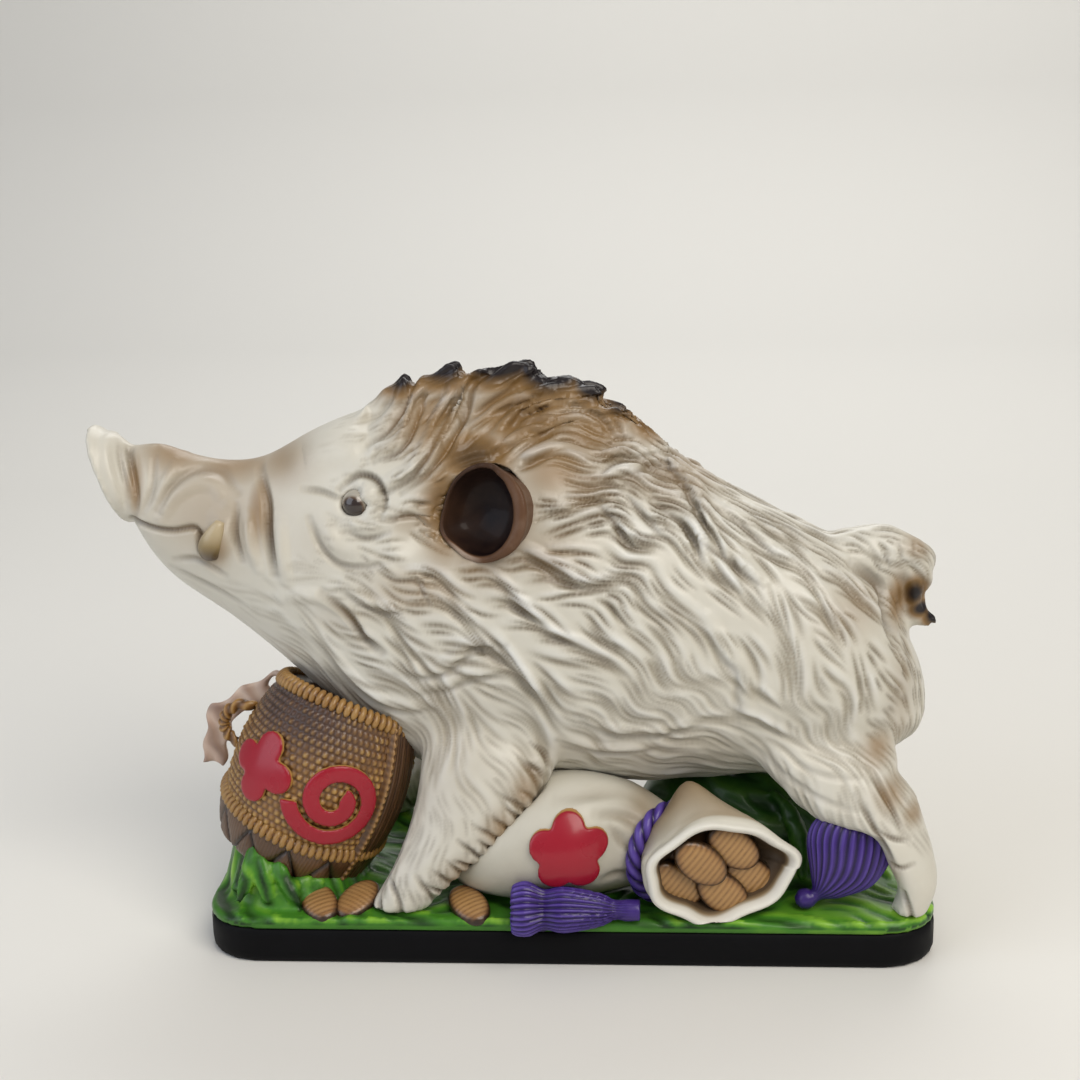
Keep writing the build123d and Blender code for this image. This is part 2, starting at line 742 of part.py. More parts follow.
def make_front_tassel():
    """Tassel that lies along the front edge, skirt towards the boar's head."""
    tail_end = Vector(FRONT_TASSEL_X, -BASE_WIDTH / 2, GROUND_TOP + FRONT_TASSEL_HEIGHT)
    rows = FRONT_TASSEL_PROFILE + [(1.0, TASSEL_NECK_RADIUS / TASSEL_SKIRT_RADIUS)]
    points = [tail_end + Vector(FRONT_TASSEL_LENGTH * share, 0, 0) for share, _ in rows]
    return bent_taper(points, [TASSEL_SKIRT_RADIUS * size for _, size in rows])


def make_rear_tassel():
    """Tassel that fans up beside the hind leg."""
    knot = Vector(REAR_TASSEL_X, REAR_TASSEL_INSET - BASE_WIDTH / 2, GROUND_TOP + TASSEL_KNOT_RADIUS)
    reach = Vector(REAR_TASSEL_REACH, REAR_TASSEL_LEAN, REAR_TASSEL_RISE - TASSEL_SKIRT_RADIUS / 2)
    shares = (0.0, REAR_TASSEL_MIDDLE_SHARE, REAR_TASSEL_SKIRT_SHARE, 1.0)
    radii = (TASSEL_NECK_RADIUS, REAR_TASSEL_MIDDLE, TASSEL_SKIRT_RADIUS, TASSEL_SKIRT_RADIUS)
    skirt = bent_taper([knot + reach * share for share in shares], radii)
    return skirt + Pos(*knot) * Sphere(TASSEL_KNOT_RADIUS)


# Sub-assemblies, each piece fitted to its neighbours


def make_boar(body, core):
    """Every piece of the boar by name."""
    pieces = {}
    for name, (rings, far, hind) in LEGS.items():
        pieces[name] = make_leg(rings, far, hind) - body
    shell = body - core
    for socket in (peg(ear_plane(), PEG_CLEARANCE), make_eye(SEAT_GAP)):
        shell = shell - socket - socket.mirror(Plane.XZ)
    for plane in [snout_plane()] + mane_peg_planes():
        shell -= peg(plane, PEG_CLEARANCE)
    pieces["head_shell"] = split(shell, neck_plane(), Keep.TOP)
    pieces["torso_shell"] = split(shell, neck_plane(), Keep.BOTTOM)
    pieces["snout_disc"] = make_snout_disc() + peg(snout_plane())
    pieces["mane_crest"] = (make_mane() - body) + [peg(plane) for plane in mane_peg_planes()]
    pieces["tail"] = bent_taper([k.point for k in TAIL], [k.radius for k in TAIL]) - body
    ear_peg = peg(ear_plane())
    pieces["left_ear"] = (make_ear() - body) + ear_peg
    pieces["right_ear"] = (make_ear().mirror(Plane.XZ) - body) + ear_peg.mirror(Plane.XZ)
    pieces["left_eye"] = make_eye()
    pieces["right_eye"] = make_eye().mirror(Plane.XZ)
    pieces["left_tusk"] = make_tusk() - body
    pieces["right_tusk"] = make_tusk().mirror(Plane.XZ) - body
    return pieces


def make_sack(base, body, leg):
    """Every piece of the sack by name, with the coins that fill its mouth."""
    sack = fitted(sack_solid(), base, body, leg)
    hollow = collar_solid(COLLAR_WALL)
    collar = fitted(collar_solid(), base, sack) - hollow
    bed_plane = collar_plane().offset(-COIN_BED_DEPTH)
    bed = split(hollow, bed_plane, Keep.BOTTOM) - sack
    tie = SACK[-1].plane.location * Torus(SACK[-1].half_y + TIE_RADIUS / 2, TIE_RADIUS)
    tie = fitted(tie, base, sack_solid(SEAT_GAP), collar_solid(-SEAT_GAP))
    pieces = {"sack_body": sack, "sack_collar": collar, "coin_bed": bed, "sack_tie": tie}
    for i, place in enumerate(SACK_COINS, 1):
        spot = Pos(place.x, place.y, place.layer * COIN_THICKNESS) * Rot(0, 0, place.turn)
        pieces[f"sack_coin_{i}"] = coin(Plane(bed_plane.location * spot)) - collar
    return pieces


def make_ground_coins(*neighbours):
    """Loose coins that lie on the ground, each cut to those before it."""
    coins = []
    for place in GROUND_COINS:
        flat = Plane((place.x, place.y, GROUND_TOP)).rotated((0, 0, place.turn))
        coins.append(fitted(coin(flat), *neighbours, *coins))
    return coins


def main():
    """Builds every piece and writes one STEP file for each."""
    body, core = make_body()
    base = base_block(GROUND_TOP)
    pieces = {"plinth": make_plinth(), "ground": make_ground()}
    pieces.update(make_boar(body, core))
    front_left, front_right, hind_left, hind_right = (pieces[name] for name in LEGS)

    keg = make_keg()
    under_chin = ("body", "upper_skirt", "upper_rope", "strap", "scroll")
    for name in [f"keg_{word}" for word in under_chin] + ["paper_streamer"]:
        keg[name] = fitted(keg[name], body, front_left, front_right)
    pieces.update(keg)

    pieces.update(make_sack(base, body, front_left))
    sack, collar, tie = pieces["sack_body"], collar_solid(), pieces["sack_tie"]
    pieces["front_tassel"] = fitted(make_front_tassel(), base, sack, tie, collar)
    pieces["rear_tassel"] = fitted(make_rear_tassel(), base, hind_left, collar)
    pieces["sack_blossom"] = sack_relief() - pieces["front_tassel"]

    lower_skirt = keg["keg_lower_skirt"]
    coins = make_ground_coins(front_left, sack, lower_skirt)
    for i, piece in enumerate(coins, 1):
        pieces[f"ground_coin_{i}"] = piece
    bank = mound(BANK_MOUND) + blade(BANK_LEAF)
    around = [body, hind_left, hind_right, sack, collar, pieces["rear_tassel"], tie]
    pieces["grass_bank"] = fitted(bank, base, *around)
    tuft = mound(TUFT_MOUND) + [blade(rows) for rows in TUFT_BLADES]
    around = [body, front_left, front_right, keg["keg_body"], lower_skirt, keg["keg_lower_rope"]]
    pieces["grass_tuft"] = fitted(tuft, base, *around, *coins)

    for name, piece in pieces.items():
        export_step(piece, f"parts/{name}.step")
        print(name, round(piece.volume), len(piece.solids()))


os.makedirs("parts", exist_ok=True)
main()
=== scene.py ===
"""Looks of the lucky boar figurine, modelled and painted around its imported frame."""

import logging
import math
from dataclasses import dataclass
from enum import Enum
from typing import Iterable, Sequence

import bmesh
import bpy
import numpy as np
from mathutils import Matrix, Vector
from mathutils.bvhtree import BVHTree


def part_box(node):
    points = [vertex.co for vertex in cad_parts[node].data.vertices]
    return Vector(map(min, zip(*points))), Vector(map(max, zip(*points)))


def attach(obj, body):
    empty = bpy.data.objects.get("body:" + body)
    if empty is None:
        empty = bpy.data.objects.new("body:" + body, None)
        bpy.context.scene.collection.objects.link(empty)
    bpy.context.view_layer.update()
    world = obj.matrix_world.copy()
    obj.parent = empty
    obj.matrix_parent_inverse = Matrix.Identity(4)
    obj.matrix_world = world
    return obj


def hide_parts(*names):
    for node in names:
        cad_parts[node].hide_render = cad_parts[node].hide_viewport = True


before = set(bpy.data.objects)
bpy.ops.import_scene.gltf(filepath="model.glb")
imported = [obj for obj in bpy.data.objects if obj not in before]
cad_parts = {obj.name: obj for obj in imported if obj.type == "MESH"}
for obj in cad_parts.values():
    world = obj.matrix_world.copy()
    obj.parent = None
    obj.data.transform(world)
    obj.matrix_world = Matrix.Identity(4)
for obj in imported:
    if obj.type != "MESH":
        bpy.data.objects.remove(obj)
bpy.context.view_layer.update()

LOG = logging.getLogger("boar")
MM = 0.001
SEED = 11
WELD = 0.001
BODY = "root"
GROUND_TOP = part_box("ground")[1].z / MM
SideLine = Sequence[tuple[float, float]]


class Paint(Enum):
    """Paint layers that ride on a casting's points, each from 0 to 1."""

    # Tone also carries painted highlights on ridges and painted shade in hollows
    TONE = "tone"
    WASH = "wash"
    # Sprayed brown and black, and painted shade on the turf and in and under the sack
    SMOKE = "smoke"


class Side(Enum):
    """Which flank of the boar a piece belongs to: the show side faces -Y."""

    LEFT = -1
    RIGHT = 1


def linear(code: str) -> tuple[float, float, float, float]:
    """Turns an sRGB hex colour to linear.

    Args:
        code: six hex digits.

    Returns:
        Red, green, blue and an alpha of 1.
    """
    parts = [int(code[i:i + 2], 16) / 255 for i in (0, 2, 4)]
    low = [c / 12.92 if c <= 0.04045 else ((c + 0.055) / 1.055) ** 2.4 for c in parts]
    return (*low, 1.0)


def add_node(tree: bpy.types.NodeTree, kind: str, links: dict | None = None,
             **settings) -> bpy.types.Node:
    """Adds a node with its settings, socket values and links.

    Args:
        tree: the node tree.
        kind: the node's type name.
        links: input socket to an output socket or to a plain value.
        settings: properties of the node.

    Returns:
        The new node.
    """
    node = tree.nodes.new(kind)
    for name, value in settings.items():
        setattr(node, name, value)
    for socket, source in (links or {}).items():
        if isinstance(source, bpy.types.NodeSocket):
            tree.links.new(source, node.inputs[socket])
        else:
            node.inputs[socket].default_value = source
    return node


@dataclass(frozen=True)
class Finish:
    """A hand-painted finish on a cast figure: a tone ramp whose dark and light ends also serve as painted
    shade and painted highlight, a wash in the hollows, and a sprayed shade that in places is painted shade.
    """

    name: str
    dark: str
    body: str
    light: str
    wash: str
    spray: str
    spray_deep: str
    roughness: float = 0.4
    coat: float = 0.3
    coat_roughness: float = 0.15
    # Sizes of the brush mottle and the spray grit: real grit is finer, and is drawn coarse enough to show
    mottle_mm: float = 9.0
    mottle: float = 0.12
    grain_mm: float = 0.9
    grain: float = 0.05
    metallic: float = 0.0
    specular: float = 0.5

    # Amounts of spray at which it looks thin, looks deep and hides what is under it
    THIN = 0.42
    DEEP = 0.82
    HIDES = 0.55
    # Spread of the roughness about its mean, and height of the grit in millimetres
    GLOSS_SPREAD = 0.06
    GRIT_MM = 0.1

    def build(self) -> bpy.types.Material:
        """Makes the node material.

        Returns:
            The material.
        """
        material = bpy.data.materials.new(self.name)
        material.use_nodes = True
        tree = material.node_tree
        tree.nodes.clear()
        place = add_node(tree, "ShaderNodeTexCoord").outputs["Object"]
        tone, wash, smoke = (
            add_node(tree, "ShaderNodeAttribute", attribute_name=layer.value).outputs["Fac"]
            for layer in (Paint.TONE, Paint.WASH, Paint.SMOKE)
        )
        blotch, grit = (
            add_node(tree, "ShaderNodeTexNoise",
                     {"Vector": place, "Scale": 1 / (size * MM), "Detail": detail}).outputs["Fac"]
            for size, detail in ((self.mottle_mm, 3.0), (self.grain_mm, 2.0))
        )
        centred = add_node(tree, "ShaderNodeMath", {0: blotch, 1: 0.5}, operation="SUBTRACT").outputs[0]
        shift = add_node(tree, "ShaderNodeMath", {0: centred, 1: 2 * self.mottle},
                         operation="MULTIPLY").outputs[0]
        toned, sprayed = (
            add_node(tree, "ShaderNodeMath", {0: layer, 1: shift}, operation="ADD").outputs[0]
            for layer in (tone, smoke)
        )
        # The ramp's dark and light ends are painted shade and painted highlight where the tone follows the
        # relief
        ramp = self._ramp(tree, toned, ((0.0, self.dark), (0.5, self.body), (1.0, self.light)))
        shade = self._ramp(tree, sprayed, ((self.THIN, self.spray), (self.DEEP, self.spray_deep)))
        washed = add_node(tree, "ShaderNodeMix", {0: wash, 6: ramp, 7: linear(self.wash)},
                          data_type="RGBA").outputs[2]
        cover = add_node(tree, "ShaderNodeMapRange", {0: smoke, 1: 0.0, 2: self.HIDES, 3: 0.0, 4: 1.0},
                         interpolation_type="SMOOTHSTEP").outputs[0]
        colour = add_node(tree, "ShaderNodeMix", {0: cover, 6: washed, 7: shade}, data_type="RGBA").outputs[2]
        bump = add_node(tree, "ShaderNodeBump", {
            "Height": grit, "Strength": self.grain, "Distance": self.GRIT_MM * MM,
        }).outputs["Normal"]
        low, high = self.roughness - self.GLOSS_SPREAD, self.roughness + self.GLOSS_SPREAD
        dull = add_node(tree, "ShaderNodeMapRange", {0: blotch, 1: 0.3, 2: 0.7, 3: low, 4: high}).outputs[0]
        shader = add_node(tree, "ShaderNodeBsdfPrincipled", {
            "Base Color": colour, "Roughness": dull, "Normal": bump, "Metallic": self.metallic,
            "Coat Weight": self.coat, "Coat Roughness": self.coat_roughness,
            "Specular IOR Level": self.specular,
        })
        add_node(tree, "ShaderNodeOutputMaterial", {"Surface": shader.outputs["BSDF"]})
        return material

    def _ramp(self, tree: bpy.types.NodeTree, factor: bpy.types.NodeSocket,
              stops: Sequence[tuple[float, str]]) -> bpy.types.NodeSocket:
        """Adds a colour ramp.

        Args:
            tree: the node tree.
            factor: what drives the ramp.
            stops: place and hex colour of each stop.

        Returns:
            The ramp's colour.
        """
        node = add_node(tree, "ShaderNodeValToRGB", {"Fac": factor})
        for i, (place, code) in enumerate(stops):
            stop = node.color_ramp.elements[i] if i < 2 else node.color_ramp.elements.new(place)
            stop.position = place
            stop.color = linear(code)
        return node.outputs["Color"]


# Cast plaster under pearl paint: milky white with a soft gloss, brown wash wiped into the hair, its light end
# a painted highlight on the raised locks
PEARL = Finish("pearl_paint_on_casting", "A0967F", "CDC9BC", "E2E3E0", "4E3D24", "86673C", "1A1213",
               roughness=0.38, coat=0.18, specular=0.35, coat_roughness=0.2, mottle=0.08)
# Brushed lacquer in the ear cup: pools almost black inside, thin and tan on the rim
EAR = Finish("ear_lacquer", "0E070B", "5E4330", "BCA997", "2A1A20", "3A2228", "150C11",
             roughness=0.5, coat=0.1, coat_roughness=0.1, specular=0.12)
# Glaze over a brown eye: a dark pupil and one sharp highlight
EYE = Finish("eye_glaze", "1E120E", "5E4A38", "A8A194", "2A1A14", "2A1A14", "0E0908",
             roughness=0.18, coat=0.8, coat_roughness=0.05, mottle=0.03)
# Ivory paint on casting: half glossy, with painted shade at its brown root and a painted highlight towards
# the tip
IVORY = Finish("tusk_ivory_paint", "4A3820", "8C7850", "B8A888", "3E2A14", "5E4526", "2E1E10",
               roughness=0.35)
# Sprayed black enamel: dull, with a faint grit
BLACK = Finish("plinth_black_enamel", "050506", "0B0B0D", "1A1A1E", "050506", "050506", "020203",
               roughness=0.55, coat=0.0, grain=0.12, specular=0.1)
# Green paint brushed over cast blades: yellowish on the ridges as a painted highlight, dark between them and
# in its spray as painted shade
GREEN = Finish("grass_green_paint", "16330F", "3F7A1E", "86B834", "1C3A12", "1D3F14", "0B1C0A",
               roughness=0.42, coat=0.15, mottle=0.22, specular=0.3)
# Gold-brown paint on cast straw: light on the knobs as a painted highlight, dark in the gaps as painted shade
STRAW = Finish("straw_gold_paint", "3A2412", "80592A", "C09A56", "2E1C0E", "4A3020", "24150D",
               roughness=0.42, coat=0.25, mottle=0.15)
# Browner paint on the cast leaves: little contrast, dark along the folds as painted shade
DARK_STRAW = Finish("straw_brown_paint", "22140C", "5A3D24", "9A7444", "1E120B", "33211A", "1A100C",
                    roughness=0.4, coat=0.3, mottle=0.15)
# Red enamel on raised casting: even and glossy, with a gold edge
RED = Finish("ornament_red_enamel", "B08A4A", "8E1022", "A61A2E", "4A0A14", "5A0C18", "30060C",
             roughness=0.3, coat=0.35, mottle=0.05, specular=0.3)
# White paint on cast cloth: duller than the coat, brown spray in the folds, painted shade under the sack and
# in its mouth, lighter towards the top as painted light
CANVAS = Finish("sack_white_paint", "8E8672", "C4C0B2", "DDDAD0", "6E5A3C", "8A7658", "4A3A28",
                roughness=0.5, coat=0.1, mottle=0.1)
# Violet paint on cast cord: pale on the ridges of the strands as a painted highlight, nearly black between
# them as painted shade
PURPLE = Finish("cord_purple_paint", "160C34", "3A2472", "6F5AB6", "150B30", "1C1038", "0C0620",
                roughness=0.36, coat=0.15, mottle=0.12, specular=0.35)
# Bronze paint on cast coins: a faint glint of metal, a painted highlight on the dome and painted shade in the
# edge
BRONZE = Finish("coin_bronze_paint", "2C1C0E", "8A6238", "C49A62", "2C1C0E", "3A2818", "1E120A",
                roughness=0.36, coat=0.3, metallic=0.15)
# Matt pinkish paint on a cast paper strip, lighter on the crests of its folds as a painted highlight
PAPER = Finish("streamer_pink_paint", "6E5448", "B89C8A", "D8C4B4", "5A4038", "6A5044", "3A2A24",
               roughness=0.5, coat=0.1)


def linked(name: str, data: bpy.types.ID) -> bpy.types.Object:
    """Puts data into the scene as an object at the origin.

    Args:
        name: the object's name.
        data: its mesh, curve, lamp or camera.

    Returns:
        The object.
    """
    thing = bpy.data.objects.new(name, data)
    bpy.context.scene.collection.objects.link(thing)
    return thing


def evaluated(holder: bpy.types.Object) -> bpy.types.Mesh:
    """Turns an object with its modifiers to a plain mesh.

    Args:
        holder: the object, which is used up.

    Returns:
        The mesh.
    """
    graph = bpy.context.evaluated_depsgraph_get()
    result = bpy.data.meshes.new_from_object(holder.evaluated_get(graph), depsgraph=graph)
    bpy.data.objects.remove(holder)
    return result


def baked(build: bmesh.types.BMesh, name: str) -> bpy.types.Mesh:
    """Turns a mesh under construction to a plain mesh.

    Args:
        build: the mesh under construction, which is used up.
        name: the new mesh's name.

    Returns:
        The mesh.
    """
    mesh = bpy.data.meshes.new(name)
    build.to_mesh(mesh)
    build.free()
    return mesh


def changed(mesh: bpy.types.Mesh, kind: str, **settings) -> bpy.types.Mesh:
    """Runs one modifier over a mesh.

    Args:
        mesh: the mesh to change, which is used up.
        kind: the modifier's type.
        settings: properties of the modifier.

    Returns:
        The changed mesh.
    """
    holder = linked("holder", mesh)
    modifier = holder.modifiers.new(kind.lower(), kind)
    for name, value in settings.items():
        setattr(modifier, name, value)
    result = evaluated(holder)
    bpy.data.meshes.remove(mesh)
    return result


def smoothstep(low: float, high: float, value: np.ndarray) -> np.ndarray:
    """Eases from 0 at low to 1 at high."""
    share = np.clip((value - low) / (high - low), 0, 1)
    return share * share * (3 - 2 * share)


def spline(knots: np.ndarray, counts: Sequence[int]) -> np.ndarray:
    """Samples a smooth curve, or a smooth skin of curves, through knots.

    Args:
        knots: the knots along the first axis, of any shape beyond it.
        counts: how many samples each span gets.

    Returns:
        The samples along the first axis, ending on the last knot.
    """
    padded = np.concatenate([2 * knots[:1] - knots[1:2], knots, 2 * knots[-1:] - knots[-2:-1]])
    rows = []
    for i, count in enumerate(counts):
        a, b, c, d = padded[i:i + 4]
        t = (np.arange(count) / count).reshape(-1, *[1] * (knots.ndim - 1))
        bend = (2 * a - 5 * b + 4 * c - d) * t**2
        twist = (3 * b - a - 3 * c + d) * t**3
        rows.append(0.5 * (2 * b + (c - a) * t + bend + twist))
    return np.concatenate(rows + [knots[-1:]])


def curved(points: Sequence[Sequence[float]], step: float = 1.0) -> np.ndarray:
    """Samples a smooth line through given points.

    Args:
        points: the points, in any number of dimensions.
        step: spacing of the samples in millimetres.

    Returns:
        The samples, one row each.
    """
    knots = np.array(points, float)
    lengths = np.linalg.norm(np.diff(knots, axis=0), axis=1)
    return spline(knots, [max(2, int(length / step)) for length in lengths])


def bell(value: np.ndarray, middle: float, reach: float) -> np.ndarray:
    """A soft hump of height 1."""
    return np.exp(-(((value - middle) / reach) ** 2))


def around(count: int) -> np.ndarray:
    """Evenly spaced angles of a full turn."""
    return np.arange(count) * 2 * np.pi / count


@dataclass(frozen=True)
class Tool:
    """One modelling stroke in the side view: its line, half width, lift (+) or cut (-), and wash."""

    line: SideLine
    width: float
    lift: float
    wash: float = 0.0
    taper: bool = True


@dataclass(frozen=True)
class Spray:
    """One sprayed patch in the side view, for airbrushing and for painted shade: place, reach along x and
    height, and strength.
    """

    x: float
    height: float
    reach_x: float
    reach_h: float
    strength: float


@dataclass(frozen=True)
class Push:
    """One shove of the form in the side view: place, reach along x and height, and how far it goes."""

    x: float
    height: float
    reach_x: float
    reach_h: float
    move_x: float
    move_h: float


class Clay:
    """A casting while it is modelled: points in millimetres, and the paint that rides on them."""

    # How squarely a face has to look sideways for a stroke to begin on it, and to take it in full
    GLANCING = 0.15
    SQUARE = 0.5

    def __init__(self, mesh: bpy.types.Mesh) -> None:
        """Takes over a mesh in metres.

        Args:
            mesh: the mesh to model.
        """
        self.mesh = mesh
        count = len(mesh.vertices)
        places = np.empty(count * 3, np.float32)
        mesh.vertices.foreach_get("co", places)
        self.points = places.reshape(-1, 3).astype(float) / MM
        pairs = np.empty(len(mesh.edges) * 2, np.int32)
        mesh.edges.foreach_get("vertices", pairs)
        self.pairs = pairs.reshape(-1, 2)
        self.paint = {layer: np.zeros(count) for layer in Paint}
        self.paint[Paint.TONE] += 0.5

    @classmethod
    def from_nodes(cls, names: Iterable[str], voxel: float, softness: int = 0, refine: int = 0) -> "Clay":
        """Models over copies of CAD nodes, run together into one skin.

        Args:
            names: the CAD nodes.
            voxel: size of the first mesh in millimetres.
            softness: smoothing passes before the mesh is refined.
            refine: how often each face is then split in four.

        Returns:
            The clay, with any sealed hollow left out.
        """
        build = bmesh.new()
        for name in names:
            build.from_mesh(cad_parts[name].data)
        bmesh.ops.remove_doubles(build, verts=build.verts, dist=WELD * MM)
        clay = cls(changed(baked(build, "clay"), "REMESH", mode="VOXEL", voxel_size=voxel * MM))
        clay.drop_hollows()
        clay.smooth(softness)
        return clay.refined(refine) if refine else clay

    @classmethod
    def from_grid(cls, grid: np.ndarray, closed: bool = False) -> "Clay":
        """Skins rings of points, each closed on itself, and caps or joins the first and the last ring.

        Args:
            grid: rings by points by three, in millimetres.
            closed: whether the last ring runs on into the first.

        Returns:
            The clay, its rings' points first and in order, then the two cap centres if it has caps.
        """
        rings, count, _ = grid.shape
        index = np.arange(rings * count).reshape(rings, count)
        beside = np.roll(index, -1, axis=1)
        faces = np.stack([index[:-1], beside[:-1], beside[1:], index[1:]], -1).reshape(-1, 4).tolist()
        points = grid.reshape(-1, 3)
        if closed:
            faces += np.stack([index[-1], beside[-1], beside[0], index[0]], -1).tolist()
        else:
            first, last = rings * count, rings * count + 1
            faces += [(b, a, first) for a, b in zip(index[0], beside[0])]
            faces += [(a, b, last) for a, b in zip(index[-1], beside[-1])]
            points = np.vstack([points, grid[0].mean(0), grid[-1].mean(0)])
        mesh = bpy.data.meshes.new("clay")
        mesh.from_pydata((points * MM).tolist(), [], faces)
        build = bmesh.new()
        build.from_mesh(mesh)
        bmesh.ops.recalc_face_normals(build, faces=build.faces)
        build.to_mesh(mesh)
        build.free()
        return cls(mesh)

    def refined(self, times: int) -> "Clay":
        """Splits every face in four, a number of times, and keeps the surface smooth."""
        return Clay(changed(self.flush(), "SUBSURF", levels=times, render_levels=times))

    def flush(self) -> bpy.types.Mesh:
        """Writes the points back to the mesh, in metres."""
        self.mesh.vertices.foreach_set("co", (self.points * MM).astype(np.float32).ravel())
        self.mesh.update()
        return self.mesh

    def drop_hollows(self) -> None:
        """Keeps the largest skin and drops sealed hollows and crumbs."""
        label = np.arange(len(self.points))
        a, b = self.pairs.T
        while True:
            low = np.minimum(label[a], label[b])
            following = label.copy()
            np.minimum.at(following, a, low)
            np.minimum.at(following, b, low)
            following = following[following]
            if (following == label).all():
                break
            label = following
        names = np.unique(label)
        reach = {n: np.ptp(self.points[label == n], axis=0).sum() for n in names}
        keep = label == max(reach, key=reach.get)
        if keep.all():
            return
        build = bmesh.new()
        build.from_mesh(self.mesh)
        build.verts.ensure_lookup_table()
        bmesh.ops.delete(build, geom=[build.verts[i] for i in np.flatnonzero(~keep)], context="VERTS")
        build.to_mesh(self.mesh)
        build.free()
        self.__init__(self.mesh)

    def smooth(self, passes: int, share: np.ndarray | float = 1.0) -> None:
        """Rubs the surface smooth.

        Args:
            passes: how often each point moves half way to the mean of its neighbours.
            share: how much each point takes part.
        """
        count = len(self.points)
        a, b = self.pairs.T
        degree = np.maximum(np.bincount(a, minlength=count) + np.bincount(b, minlength=count), 1)
        weight = 0.5 * np.broadcast_to(np.asarray(share, float), (count,))
        for _ in range(passes):
            for axis in range(3):
                line = self.points[:, axis]
                total = np.bincount(a, line[b], count) + np.bincount(b, line[a], count)
                self.points[:, axis] = line + weight * (total / degree - line)

    def normals(self) -> np.ndarray:
        """Unit normals of the points as they stand."""
        flat = np.empty(len(self.points) * 3, np.float32)
        self.flush().vertex_normals.foreach_get("vector", flat)
        return flat.reshape(-1, 3).astype(float)

    @property
    def height(self) -> np.ndarray:
        """Height of each point above the flat ground."""
        return self.points[:, 2] - GROUND_TOP

    def coat(self, layer: Paint, values: np.ndarray, caps: tuple[float, float] = (0.0, 0.0)) -> None:
        """Paints one layer of a skinned grid: its rings in order, then its two cap centres."""
        self.paint[layer] = np.append(values.ravel(), caps)

    def raise_by(self, amount: np.ndarray) -> None:
        """Moves each point along its normal."""
        self.points += self.normals() * amount[:, None]

    def stroke(self, tool: Tool, normals: np.ndarray, keep: np.ndarray | float = 1.0) -> None:
        """Lifts or cuts along a line of the side view, on both flanks.

        Args:
            tool: the stroke.
            normals: the points' normals before the work.
            keep: share of the stroke that each point takes.
        """
        line = curved(tool.line)
        place = np.stack([self.points[:, 0], self.height], 1)
        low, high = line.min(0) - tool.width, line.max(0) + tool.width
        inside = ((place > low) & (place < high)).all(1)
        near = np.flatnonzero(inside & (np.abs(normals[:, 1]) > self.GLANCING))
        gap = np.linalg.norm(place[near, None] - line[None], axis=2)
        nearest = gap.argmin(1)
        away = gap[np.arange(len(near)), nearest]
        share = nearest / max(1, len(line) - 1)
        ends = np.sin(np.pi * np.clip(share, 0.04, 0.96)) ** 0.6 if tool.taper else 1.0
        facing = smoothstep(self.GLANCING, self.SQUARE, np.abs(normals[near, 1]))
        full = np.clip(1 - (away / tool.width) ** 2, 0, 1) ** 2 * ends * facing
        full = full * (keep[near] if isinstance(keep, np.ndarray) else keep)
        self.points[near] += normals[near] * (full * tool.lift)[:, None]
        self.paint[Paint.WASH][near] = np.maximum(self.paint[Paint.WASH][near], full * tool.wash)

    def push(self, shoves: Iterable[Push]) -> None:
        """Shoves parts of the form.

        Args:
            shoves: where and how far.
        """
        for s in shoves:
            away = ((self.points[:, 0] - s.x) / s.reach_x) ** 2 + ((self.height - s.height) / s.reach_h) ** 2
            self.points += np.exp(-away)[:, None] * (s.move_x, 0.0, s.move_h)

    def spray(self, patches: Iterable[Spray], keep: np.ndarray | float = 1.0) -> None:
        """Sprays dark patches, softest at their edges, for airbrushing and for painted shade.

        Args:
            patches: the patches.
            keep: share that each point takes.
        """
        smoke = self.paint[Paint.SMOKE]
        for p in patches:
            away = ((self.points[:, 0] - p.x) / p.reach_x) ** 2 + ((self.height - p.height) / p.reach_h) ** 2
            np.maximum(smoke, p.strength * np.exp(-away) * keep, out=smoke)

    def to_object(self, name: str, finish: Finish) -> bpy.types.Object:
        """Finishes the casting as a shaded object with its paint.

        Args:
            name: the piece's name.
            finish: its paint.

        Returns:
            The object, in the scene.
        """
        mesh = self.flush()
        mesh.name = name
        for layer, values in self.paint.items():
            attribute = mesh.attributes.new(layer.value, "FLOAT", "POINT")
            attribute.data.foreach_set("value", np.clip(values, 0, 1).astype(np.float32))
        mesh.shade_smooth()
        mesh.materials.clear()
        mesh.materials.append(material_of(finish))
        return linked(name, mesh)


def material_of(finish: Finish) -> bpy.types.Material:
    """The finish's material, made once."""
    return bpy.data.materials.get(finish.name) or finish.build()


def place_piece(piece: bpy.types.Object, slot: str, *nodes: str) -> None:
    """Rides a piece on the object's body in the place of CAD nodes.

    Args:
        piece: the finished piece.
        slot: not used.
        nodes: the CAD nodes that it stands for.
    """
    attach(piece, BODY)
    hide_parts(*nodes)
    LOG.info("%s: %d faces, stands for %s", piece.name, len(piece.data.polygons), ", ".join(nodes))


@dataclass(frozen=True)
class Comb:
    """How the hair lies at one place of the side view: its heading in degrees, and its strokes."""

    x: float
    height: float
    heading: float
    depth: float
    width: float
    length: float
    wash: float


